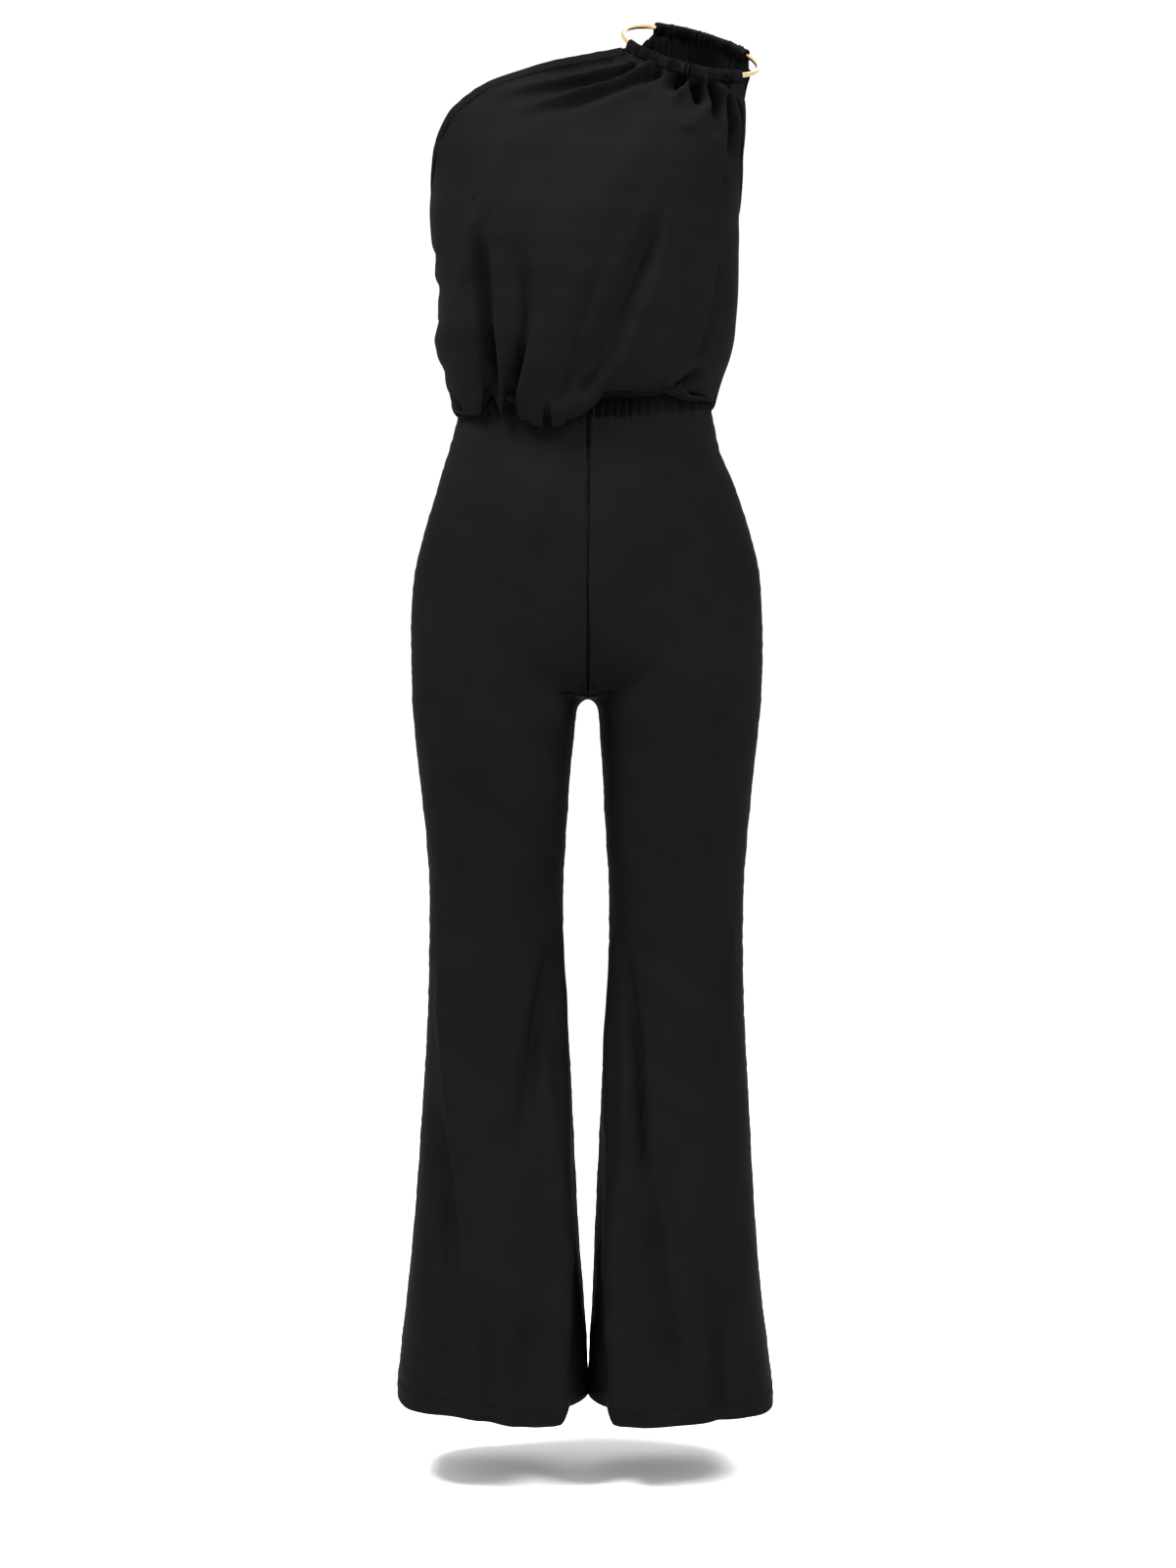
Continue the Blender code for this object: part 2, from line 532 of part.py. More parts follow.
# ---------------------------------------------------------------- bodice
def edge_points(rows):
    return np.stack([rows["across"], rows["depth"], rows["height"]], axis=1)


def top_edge(part):
    """Top edge of one bodice panel, one point for each column, right underarm to left underarm."""
    counts = COLUMNS[part]
    on_hoop = casing_edge(part, counts["casing"] + 1)
    neck = curve_through(np.vstack([edge_points(NECKLINE[part]), on_hoop[:1]]))
    arm = curve_through(np.vstack([on_hoop[-1:], edge_points(ARMHOLE[part])]))
    return np.vstack([resample(neck, counts["neckline"] + 1)[:-1], on_hoop,
                      resample(arm, counts["armhole"] + 1)[1:]])


def even_angles(count):
    """Angles that divide the chest section into even widths, right side (pi) to left side (0)."""
    fine = np.linspace(math.pi, 0, 400)
    section = body_oval(BODICE, fine, np.full_like(fine, CHEST_HEIGHT))
    reach = np.concatenate([[0.0], np.cumsum(np.linalg.norm(np.diff(section, axis=0), axis=1))])
    return np.interp(np.linspace(0, reach[-1], count), reach, fine)


def pouch_rows(angle):
    """Lower rows: from the elastic up over a small roll, down inside the pouch, round its
    bottom and up to the chest. Each row is a share of the way from waist to bodice section."""
    elastic = by_angle(WAIST, angle) + ELASTIC_WIDTH + SEAM
    low = by_angle(OVERHANG, angle)
    roll = np.maximum(elastic, low) + POUCH_ROLL
    full = low + POUCH_HEIGHT
    keys = [(0.00, elastic), (0.12, roll), (0.25, 0.45 * roll + 0.55 * low), (0.58, low),
            (0.88, low + POUCH_TURN), (1.00, full), (1.00, full + POUCH_HEIGHT)]
    shares = np.array([share for share, _ in keys])
    heights = np.stack([height for _, height in keys])
    packed = np.concatenate([np.repeat(shares[:, None, None], heights.shape[1], axis=1),
                             heights[..., None]], axis=-1)
    finer = curve_through(packed.reshape(len(keys), -1), 2).reshape(-1, heights.shape[1], 2)
    finer = finer[:-2]         # the last key only sets the direction at full size
    start = finer[-1, :, 1]
    third = np.array([[1 / 3], [2 / 3]])
    rest = start + (CHEST_HEIGHT - start) * third
    straight = np.stack([np.ones_like(rest), rest], axis=-1)
    return np.concatenate([finer, straight])


def bodice_panel(part, upper_rows=9):
    """Outer and inner grids of a bodice panel, from the waist elastic to its top edge."""
    mirror = 1.0 if part == "front" else -1.0
    edge = top_edge(part)
    angle = even_angles(len(edge))
    around = mirror * angle

    lower = pouch_rows(around)
    elastic_height = by_angle(WAIST, around) + ELASTIC_WIDTH
    waist = body_oval(TROUSERS, around, elastic_height)
    full = body_oval(BODICE, around[None, :], lower[..., 1])
    share = lower[..., :1]
    below = np.concatenate([waist * (1 - share) + full * share, lower[..., 1:]], axis=-1)

    fall = edge[:, 2] - CHEST_HEIGHT
    rows = np.linspace(0, 1, upper_rows)[:, None] * (1 - BINDING_WIDTH / fall)
    rows = np.vstack([rows, np.ones((1, len(edge)))])
    height = CHEST_HEIGHT + rows * fall
    half_width = np.where(edge[:, 0] > 0, smooth(BODICE, "height", "side_left", edge[:, 2]),
                          smooth(BODICE, "height", "side_right", edge[:, 2]))
    reach = np.clip(np.abs(edge[:, 0]) / half_width, 0, 1) ** (ROUND / 2) * np.sign(edge[:, 0])
    end_angle = np.arccos(reach)
    end_angle[0], end_angle[-1] = math.pi, 0.0
    follow = ease(rows)
    turned = angle + (end_angle - angle) * follow
    upper = np.concatenate([body_oval(BODICE, mirror * turned, height), height[..., None]], axis=-1)
    missed = edge - upper[-1]
    upper = upper + missed * follow[..., None]

    points = np.concatenate([below, upper])
    outward = points * np.array([1.0, 1.0, 0.0])
    normal = grid_normals(points, outward)
    from_side = np.minimum(np.arange(len(edge)), np.arange(len(edge))[::-1]) / SIDE_COLUMNS
    folds = fold_rise(FOLDS[part], points[..., 0], points[..., 2]) * ease(from_side)
    near_side = ease(1 - np.abs(points[..., 1]) / SIDE_RUCHE_REACH) * (points[..., 0] < 0)
    ruches = sum(row["rise"] * np.exp(-((points[..., 2] - row["height"]) / row["width"]) ** 2)
                 for row in SIDE_RUCHES)
    rise = folds + ruches * near_side
    rise[:INSIDE_ROWS] = 0.0
    points = points + normal * rise[..., None]
    for column in (0, -1):
        points[:, column, 1] = -mirror * HALF_SEAM
    normal = grid_normals(points, outward)
    for column in (0, -1):
        normal[:, column, 1] = 0.0
    normal = unit(normal)
    return points, normal


def binding(front, back, front_columns, back_columns):
    """Narrow strip laid on the top rows of both panels, from the hoop round the underarm."""
    rows = []
    for row in (-2, -1):
        ahead = [front[i][row, front_columns] for i in range(2)]
        behind = [back[i][row, back_columns] for i in range(2)]
        joint = [(ahead[i][-1] + behind[i][0]) / 2 for i in range(2)]
        rows.append([np.vstack([ahead[i][:-1], joint[i][None], behind[i][1:]]) for i in range(2)])
    points = np.stack([row[0] for row in rows])
    normal = unit(np.stack([row[1] for row in rows]))
    runs_back = np.arange(points.shape[1] - 1) < len(front_columns) - 1
    return shell(points + normal * (SEAM + BINDING_CLOTH), points + normal * SEAM, crossed=runs_back)


# ---------------------------------------------------------------- waist elastic
def waist_elastic():
    """Gathered ring between bodice and trousers: its wall goes in and out with each gather."""
    stations = 2 * ELASTIC_GATHERS
    fine = np.linspace(0, 2 * math.pi, 1200, endpoint=False)
    path = np.concatenate([body_oval(TROUSERS, fine, by_angle(WAIST, fine))] * 2)[:1201]
    reach = np.concatenate([[0.0], np.cumsum(np.linalg.norm(np.diff(path, axis=0), axis=1))])
    angle = np.interp(np.linspace(0, reach[-1], stations, endpoint=False), reach,
                      np.append(fine, 2 * math.pi))
    height = by_angle(WAIST, angle) + np.array([[0.0], [ELASTIC_WIDTH]])
    step = 1e-3
    points = body_oval(TROUSERS, angle, height)
    along = body_oval(TROUSERS, angle + step, height) - body_oval(TROUSERS, angle - step, height)
    normal = unit(np.stack([-along[..., 1], along[..., 0]], axis=-1))
    normal *= np.sign(np.median((normal * points).sum(axis=-1)))
    pucker = np.where(np.arange(stations) % 2 == 0, -1.0, 1.0)[None, :, None] * ELASTIC_RUFFLE
    outer = np.concatenate([points + normal * pucker, height[..., None]], axis=-1)
    inner = np.concatenate([points + normal * (pucker - CLOTH), height[..., None]], axis=-1)
    return shell(outer, inner, ring=True)


# ---------------------------------------------------------------- materials and assembly
def material(name, colour, roughness, metallic=0.0):
    made = bpy.data.materials.new(name)
    made.use_nodes = True
    made.diffuse_color = (*colour, 1.0)
    shader = made.node_tree.nodes["Principled BSDF"]
    shader.inputs["Base Color"].default_value = (*colour, 1.0)
    shader.inputs["Roughness"].default_value = roughness
    shader.inputs["Metallic"].default_value = metallic
    return made


def clear_scene():
    for thing in list(bpy.data.objects):
        bpy.data.objects.remove(thing, do_unlink=True)


def main():
    clear_scene()
    frame = bpy.data.objects.new("sewing_frame", None)
    frame.location = [-value for value in HOLD_POINT]
    bpy.context.collection.objects.link(frame)
    knit = material("black_stretch_knit", (0.010, 0.010, 0.011), 0.62)
    gold = material("gold_plated_wire", (0.83, 0.60, 0.28), 0.22, 1.0)

    for leg, side in (("right", -1.0), ("left", 1.0)):
        for part in ("front", "back"):
            outer, inner = trouser_panel(side, part)
            add_piece(f"trouser_{part}_{leg}", *shell(outer, inner), knit, frame)

    add_piece("waist_elastic", *waist_elastic(), knit, frame, soft=False)

    panels = {}
    for part in ("front", "back"):
        points, normal = bodice_panel(part)
        panels[part] = (points, normal)
        add_piece(f"bodice_{part}", *shell(points, points - normal * CLOTH), knit, frame)
        add_piece(f"casing_{part}", *casing(part), knit, frame)

    front, back = COLUMNS["front"], COLUMNS["back"]
    neck_front = np.arange(front["neckline"], -1, -1)
    neck_back = np.arange(0, back["neckline"] + 1)
    add_piece("neckline_binding",
              *binding(panels["front"], panels["back"], neck_front, neck_back), knit, frame)
    arm_front = np.arange(front["neckline"] + front["casing"], sum(front.values()) + 1)
    arm_back = np.arange(sum(back.values()), back["neckline"] + back["casing"] - 1, -1)
    add_piece("armhole_binding",
              *binding(panels["front"], panels["back"], arm_front, arm_back), knit, frame)
    add_piece("shoulder_hoop", *hoop(), gold, frame)


main()
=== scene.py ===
"""One-shoulder blouson jumpsuit in black jersey, with its gathers, seams, stitches and shoulder hoop.

Every cut and sewn piece is a thin closed cloth wall worked out on a grid, in the place of its solid.
Lengths are metres; a table whose headings end in _mm is written in millimetres and turned into
metres as it is read. The cloth is worked out in its sewing frame: x across, + towards the wearer's
left; y front to back, the front is negative; z up, from just above the lowest point of the hem.
HOLD_POINT, the crest of the wearer's left shoulder, is the origin of the finished part.
"""
import math

import bpy
import numpy as np
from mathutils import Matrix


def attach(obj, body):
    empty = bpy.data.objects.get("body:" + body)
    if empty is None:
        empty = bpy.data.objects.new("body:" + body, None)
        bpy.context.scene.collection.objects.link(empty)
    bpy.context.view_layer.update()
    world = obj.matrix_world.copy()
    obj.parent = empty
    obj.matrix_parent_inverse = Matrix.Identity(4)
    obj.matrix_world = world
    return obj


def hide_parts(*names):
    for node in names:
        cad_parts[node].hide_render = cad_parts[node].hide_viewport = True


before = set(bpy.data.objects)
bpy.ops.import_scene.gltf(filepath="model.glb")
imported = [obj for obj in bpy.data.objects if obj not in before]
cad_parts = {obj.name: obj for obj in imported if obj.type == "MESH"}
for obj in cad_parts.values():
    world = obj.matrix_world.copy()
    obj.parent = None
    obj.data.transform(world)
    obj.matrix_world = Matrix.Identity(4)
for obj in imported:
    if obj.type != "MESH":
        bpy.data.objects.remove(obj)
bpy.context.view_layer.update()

bl_info = {
    "name": "Blouson Jumpsuit",
    "version": (1, 0, 0),
    "blender": (4, 5, 0),
    "location": "3D View > Sidebar > Jumpsuit",
    "description": "One-shoulder blouson jumpsuit in gathered black jersey on a wire shoulder hoop",
    "category": "Add Mesh",
}

# ---------------------------------------------------------------- sizes
SEAM = 0.0003              # gap between the elastic and what is sewn to it
CASING_TUCK = 0.0024       # the bodice's edge goes this far up into the casing
HALF_SEAM = -0.0001        # sewn side and centre edges run this far over each other, so no light passes
ROUND = 2.3                # exponent of the body's ovals, 2 is an ellipse
HOLD_POINT = np.array([0.1085, 0.0285, 1.3510])

CROTCH_HEIGHT = 0.702
ARCH_RADIUS = 0.016        # rounding at the top of the gap between the legs
RISE_BLEND = 0.150         # height over which two legs become one seat
FULL_RISE = 0.9999         # share at which a centre seam is reached
CROTCH_EASE = 0.050        # height over which the panels' columns settle round the crotch
HEM_FADE = 0.110           # height over which the hem's curve dies out
WAIST_FADE = 0.080
TROUSER_TOP = 0.985        # before the dip of the waist seam
LEG_SEAM_FADE = 0.35       # angle over which leg folds die out at the side seam and the inseam
HEM_TURNING = 0.018
ELASTIC_WIDTH = 0.016
WAIST_GATHERS = 72

CHEST_HEIGHT = 1.090       # from here the bodice columns fan out to the top edge
POUCH_ROLL = 0.0045        # rise of the roll where the bodice leaves the elastic
POUCH_TURN = 0.0090        # rise of the turn at the pouch's lower edge
POUCH_HEIGHT = 0.034       # from the pouch's lower edge to its full size
BINDING_WIDTH = 0.0060

HOOP_RADIUS = 0.068        # to the middle of the wire
HOOP_CENTRE = np.array([0.1005, -0.0320, 1.3355])
HOOP_SLOPE = math.radians(15.3)   # falls outwards with the shoulder
HOOP_TILT = math.radians(27.0)    # falls forwards onto the chest
CASING_HALF_WIDTH = 0.0054        # at the top of its section
CASING_NARROWING = 0.0030         # taken off the half width at its lower edge
CASING_SQUARE = 0.7               # exponent, 1 makes the section an ellipse
CASING_LEAN = 0.006               # share of the casing by which a gather leans at its lower edge
HANG_OUT = 0.4                    # cloth leaves the wire mostly down and a little outwards
HANG_DOWN = 0.8

FINER = 6                  # columns of a bodice panel for each step of its top edge
FINEST = 13                # the same below the casing, where the gathers are
TURN_ROWS = 8              # rows for each step of the pouch's turn
STRAIGHT_ROWS = 22
UPPER_ROWS = 88


def table(columns, *rows):
    """Rows with named columns, so that a value is read by its name. A column whose heading ends
    in _mm is written in millimetres and kept in metres, under its name alone."""
    names = columns.split()
    scale = [0.001 if name.endswith("_mm") else 1.0 for name in names]
    kinds = [(name.removesuffix("_mm"), float) for name in names]
    return np.array([tuple(np.multiply(row, scale)) for row in rows], dtype=kinds)


# Trouser sections: half widths from the centre line to the side of each leg, the inner edge
# of each leg below the crotch, and the depth in front of and behind the side seams.
TROUSERS = table(
    "height_mm side_right_mm side_left_mm inner_right_mm inner_left_mm front_mm back_mm",
    (-20, 189.5, 183.5, 0.4, 0.4, 105.5, 102), (20, 188, 181.8, 0.6, 0.7, 104, 101),
    (64, 184, 177, 1.6, 2, 102, 100), (112, 178.5, 171, 4.9, 4.9, 99, 98), (170, 172.7, 166, 9.5, 7, 94, 95),
    (229, 167.8, 162.2, 12.6, 9.7, 89, 91), (287, 163.9, 159.2, 15.5, 12.6, 84, 87),
    (345, 160, 156, 18.4, 15.5, 79, 82), (403, 157.2, 153.3, 22.2, 19.4, 75, 78),
    (462, 156.2, 152.4, 25, 21.3, 73, 76), (520, 156.2, 153.5, 25, 21.2, 75.5, 82),
    (578, 160.5, 158, 21.6, 17.6, 81.5, 91), (636, 167.2, 163.8, 17.6, 14.7, 88.5, 101),
    (694, 172.7, 170, 11.8, 10.8, 95.5, 112), (734, 173.8, 171.8, 11, 10.5, 99, 120),
    (792, 173.7, 171, 11, 10.5, 104, 124), (830, 169.8, 168, 11, 10.5, 106, 121),
    (869, 160, 158.2, 11, 10.5, 106, 114), (908, 148.4, 145.5, 11, 10.5, 103, 104),
    (947, 136.8, 129.5, 11, 10.5, 97, 94), (966, 131, 125, 11, 10.5, 94, 90.5),
    (985, 126.5, 121.8, 11, 10.5, 91.5, 88), (1015, 124, 119, 11, 10.5, 89.5, 86),
)
# How far from the inseam the centre seams have come, as a share of the depth.
RISE = table(
    "above_mm front back",
    (0, 0, 0), (4, 0.3, 0.3), (13, 0.55, 0.56), (27, 0.74, 0.75), (45, 0.87, 0.88), (70, 0.955, 0.96),
    (105, 0.994, 0.995), (150, 1, 1),
)
# Angles run from the wearer's left side (0) over the front (90), the right side (180)
# and the back (270). The waist seam dips in front.
WAIST = table(
    "angle height_mm",
    (0, 987.5), (45, 979), (70, 973), (90, 970.5), (115, 972), (150, 978), (180, 982), (225, 984), (270, 985),
    (315, 986), (360, 987.5),
)
# The pouch of the blouson hangs low on the right half of the front and short on the left.
OVERHANG = table(
    "angle height_mm",
    (0, 992), (15, 990), (28, 986), (40, 982.5), (49, 985), (54, 989.5), (59, 993.5), (70, 993.5), (82, 992.5),
    (85, 990.5), (87, 981.5), (90, 973), (98, 960), (112, 961), (122, 969), (142, 974.5), (160, 976), (180, 983),
    (215, 974), (250, 969), (290, 970), (330, 983), (360, 992),
)
# Where deep folds run out over the pouch's lower edge: place across, half width, rise.
POUCH_NOTCHES = table(
    "across_mm width_mm rise_mm",
    (-96.5, 4.5, 19), (-76, 5, 12), (-40, 3.5, 5.5), (-62, 4, 3), (-20, 4.5, 3.5),
)
# Hem height around each leg: 0 at the side seam, 90 in front, 180 at the inseam, 270 behind.
HEM = table(
    "angle right_mm left_mm",
    (0, 22, 14), (15, 16, 8), (30, 12, 6.2), (50, 11, 7), (75, 10.4, 6.2), (90, 6, 3.8), (102, 1.5, 1.2),
    (113, 0, -0.5), (121, -0.2, -0.4), (127, 0.6, 0.4), (129.5, 2.2, 2), (133, 12, 11.5), (136, 14.8, 14.2),
    (145, 15, 14.5), (180, 14, 14), (225, 2, 2), (270, -2, -2), (315, 5, 2), (360, 22, 14),
)
# Bodice sections, worn loose over a general figure; above the underarm they are the form
# that the front and back panels lie on.
BODICE = table(
    "height_mm side_right_mm side_left_mm front_mm back_mm",
    (950, 130, 123, 115, 101), (980, 134.5, 127, 119, 104), (1000, 137.5, 128.5, 123, 106.5),
    (1020, 142, 133.5, 127.5, 109.5), (1038, 147.8, 139.8, 130, 111.5), (1054, 150, 143.6, 132, 113),
    (1073, 148, 145.6, 133.5, 114), (1102, 148, 147.8, 134.5, 115), (1131, 151, 148.4, 134, 115.5),
    (1160, 154.8, 148.4, 132, 116), (1185, 156, 148.6, 128.5, 116), (1205, 155, 151, 124.5, 115),
    (1240, 159, 158, 116, 111), (1280, 164, 164, 101, 102), (1320, 165, 168, 85, 86), (1360, 160, 165, 70, 60),
)
# Top edges, from the right underarm up to the hoop, and from the hoop down to the left underarm.
NECKLINE = {
    "front": table(
        "across_mm depth_mm height_mm",
        (-155, 0, 1205), (-153.8, -22, 1220), (-150, -40, 1240), (-143, -53, 1256.5), (-129, -64, 1273.5),
        (-105, -74, 1290), (-85, -79, 1298.3), (-57.6, -82, 1306.8), (-24.5, -80.5, 1315.7), (9.4, -74, 1323),
    ),
    "back": table(
        "across_mm depth_mm height_mm",
        (-155, 0, 1205), (-150, 30, 1220), (-140, 53, 1240), (-120, 74, 1264), (-90, 88, 1286), (-50, 93, 1306),
        (-10, 88, 1322), (26, 70, 1337), (48, 42, 1350),
    ),
}
ARMHOLE = {
    "front": table(
        "across_mm depth_mm height_mm",
        (150.5, -72, 1279), (152, -66, 1258), (151.8, -56, 1235), (150.5, -40, 1212), (149.5, -20, 1192.5),
        (148.8, 0, 1185),
    ),
    "back": table(
        "across_mm depth_mm height_mm",
        (154, 29, 1308), (152, 48, 1282), (150.5, 56, 1252), (150, 50, 1223), (149.5, 26, 1196),
        (148.8, 0, 1185),
    ),
}
# Casings on the hoop: the stretch of wire that each covers (degrees from the outer end of the
# hoop, positive towards the back), its reach above and below the wire, and its gathers.
CASING = {
    "front": dict(inner=-147.0, outer=-38.0, above=0.0042, below=0.0074, gathers=38, seed=5),
    "back": dict(inner=127.0, outer=38.0, above=0.0046, below=0.0100, gathers=30, seed=8),
}
COLUMNS = {
    "front": dict(neckline=13, casing=13, armhole=8),
    "back": dict(neckline=10, casing=8, armhole=7),
}

# Folds, seen from the front or the back: three points of the fold's line, its half width at
# both ends, the shares of its length over which it rises and dies out, and its height above
# the smooth form (troughs are negative).
FOLD_COLUMNS = "x1_mm z1_mm x2_mm z2_mm x3_mm z3_mm start_width_mm end_width_mm head tail rise_mm"
BODICE_FOLDS = {
    "front": table(
        FOLD_COLUMNS,
        # from the inner end of the front casing across the bust
        (30, 1316.9, -10.7, 1306, -66, 1291, 4.5, 8, 0.1, 0.45, -2.6),
        (49.8, 1314, -16.1, 1296.6, -100, 1279, 3.6, 5.4, 0.06, 0.45, 5.8),
        (48, 1310, 2.7, 1294.1, -88, 1272, 4.4, 6.5, 0.06, 0.5, -6.6),
        (66, 1310.5, 4.7, 1285.8, -90, 1258, 3.6, 5.4, 0.05, 0.45, 6.2),
        (72.5, 1303.5, 21.6, 1283.1, -76, 1250, 4.6, 8, 0.05, 0.45, -8.2),
        (61.9, 1288, 21.6, 1272.6, -26, 1253, 9.5, 15, 0.15, 0.5, 5.5),
        (95, 1298.5, 86.7, 1291, 64, 1283.5, 5.8, 8, 0.08, 0.6, -16.5),
        # from the casing down the wearer's left breast to the armhole
        (98.4, 1296.5, 91.4, 1283.9, 79, 1266, 3.1, 4.8, 0.05, 0.4, 7.5),
        (102.7, 1294, 106.4, 1281.1, 110.5, 1266, 5.5, 6.5, 0.1, 0.35, -17.5),
        (110.2, 1300, 117.8, 1276.4, 110, 1250, 3.1, 5, 0.05, 0.4, 7.5),
        (117.2, 1294, 122, 1278.3, 127.2, 1250, 4.2, 6, 0.08, 0.4, -19),
        (119.6, 1294, 133.5, 1274.5, 133.5, 1220, 3.2, 4.2, 0.05, 0.4, 7.5),
        (136.2, 1283, 138.9, 1251.9, 142.5, 1205, 3.4, 4.8, 0.12, 0.45, -21),
        (136.5, 1289, 143.2, 1262.3, 145.8, 1240, 2, 2.6, 0.1, 0.4, 3),
        (133.8, 1206, 133, 1196, 131.8, 1185, 2.2, 2.2, 0.3, 0.3, -3),
        (101.5, 1262, 100, 1250, 98, 1238, 9, 9, 0.3, 0.3, 4),
        (123.5, 1242, 125, 1232, 127, 1222, 7, 7, 0.3, 0.3, 3),
        # the pouch on the wearer's right
        (-107, 1155, -101, 1078, -89, 966, 8.5, 4.2, 0.4, 0.02, -17),
        (-98.5, 1060, -94.5, 1005, -89.2, 960, 3, 2.6, 0.45, 0.02, -11),
        (-64, 1050, -70, 1010, -78.5, 975, 3.2, 2.8, 0.45, 0.02, -8),
        (-66, 1140, -59, 1062, -77.5, 985, 11, 4.5, 0.4, 0.02, -10.5),
        (-85, 1060, -83, 1020, -83.5, 970, 4.5, 2.8, 0.4, 0.02, 3),
        (-92.5, 1000, -90.5, 985, -90, 962, 1.8, 1.8, 0.3, 0.02, 3.5),
        (-97.5, 992, -96.5, 978, -96, 962, 4, 4.5, 0.3, 0.02, -9),
        (-74.5, 990, -73.5, 975, -72.5, 960, 4, 4, 0.3, 0.02, -8),
        (-40, 980, -39.5, 971, -39, 960, 3, 3.4, 0.45, 0.02, -5.5),
        (-106, 1180, -116.5, 1119, -130, 1069, 6, 10, 0.2, 0.5, 3.5),
        (-88, 1170, -88, 1150, -86, 1130, 4, 4, 0.3, 0.3, 1.5),
        (-110, 1184, -110, 1176, -110, 1168, 1.5, 1.5, 0.3, 0.3, -2.5),
        (-118, 1100, -117, 1040, -112, 990, 18, 18, 0.3, 0.2, 3),
        (-50, 1100, -52, 1040, -53, 990, 14, 14, 0.3, 0.2, 3),
        (-131, 995, -128, 985, -124.5, 972, 3, 3, 0.2, 0.1, -5),
        # the pouch on the wearer's left
        (76.5, 1176, 34.5, 1078, -28, 970, 9, 14, 0.35, 0.15, -11),
        (79.5, 1171, 65.5, 1098, 47, 1045, 5, 10, 0.2, 0.5, 3.5),
        (18.5, 1125, -10, 1050, -33, 972, 10, 7, 0.4, 0.1, -6),
        (46, 1085, 20, 1020, -9, 985, 8.5, 4.5, 0.4, 0.1, -7),
        (137.5, 1140, 123, 1060, 106.5, 1018, 8.5, 5, 0.3, 0.2, -15),
        (128, 1130, 112, 1060, 99, 1020, 5.5, 4, 0.3, 0.2, 4.5),
        (70.5, 994.5, 84, 1006.5, 106, 1026, 5.2, 4.2, 0.25, 0.2, 8),
        (76, 983, 91.5, 996.5, 112.5, 1016.5, 8, 6, 0.1, 0.25, -16.5),
        (84, 979, 98, 983, 118, 996, 9, 9, 0.2, 0.35, -11),
    ),
    "back": table(
        FOLD_COLUMNS,
        (-104, 1150, -94, 1060, -90, 966, 10, 6, 0.35, 0.04, -8),
        (-56, 1120, -60, 1050, -68, 970, 10, 5.5, 0.4, 0.04, -6.5),
        (-76, 1090, -77, 1030, -79, 972, 6, 3.5, 0.4, 0.04, 3.5),
        (-10, 1110, -22, 1045, -30, 972, 11, 6, 0.4, 0.04, -5.5),
        (40, 1150, 20, 1065, 4, 975, 11, 7, 0.35, 0.06, -7),
        (58, 1160, 44, 1090, 30, 1020, 6, 9, 0.3, 0.4, 3),
        (78, 1110, 62, 1050, 50, 985, 9, 5.5, 0.4, 0.06, -5.5),
        (112, 1140, 102, 1065, 92, 998, 9, 5, 0.35, 0.06, -6.5),
        (-120, 1175, -122, 1115, -130, 1060, 6, 10, 0.2, 0.5, 3),
        (62, 1328, 6, 1300, -60, 1278, 5, 8, 0.06, 0.5, -3.8),
        (70, 1320, 14, 1286, -50, 1258, 4, 7, 0.06, 0.5, 3),
        (78, 1316, 22, 1270, -40, 1236, 5, 10, 0.06, 0.5, -5),
        (92, 1318, 70, 1262, 36, 1214, 6, 11, 0.06, 0.5, -5),
        (102, 1318, 92, 1268, 72, 1210, 4, 7, 0.06, 0.5, 3.2),
        (112, 1316, 108, 1262, 100, 1204, 5, 9, 0.06, 0.45, -6.2),
        (122, 1312, 124, 1256, 120, 1200, 3.5, 6, 0.06, 0.45, 3.4),
        (134, 1310, 138, 1256, 140, 1204, 4.5, 7, 0.06, 0.35, -6),
    ),
}
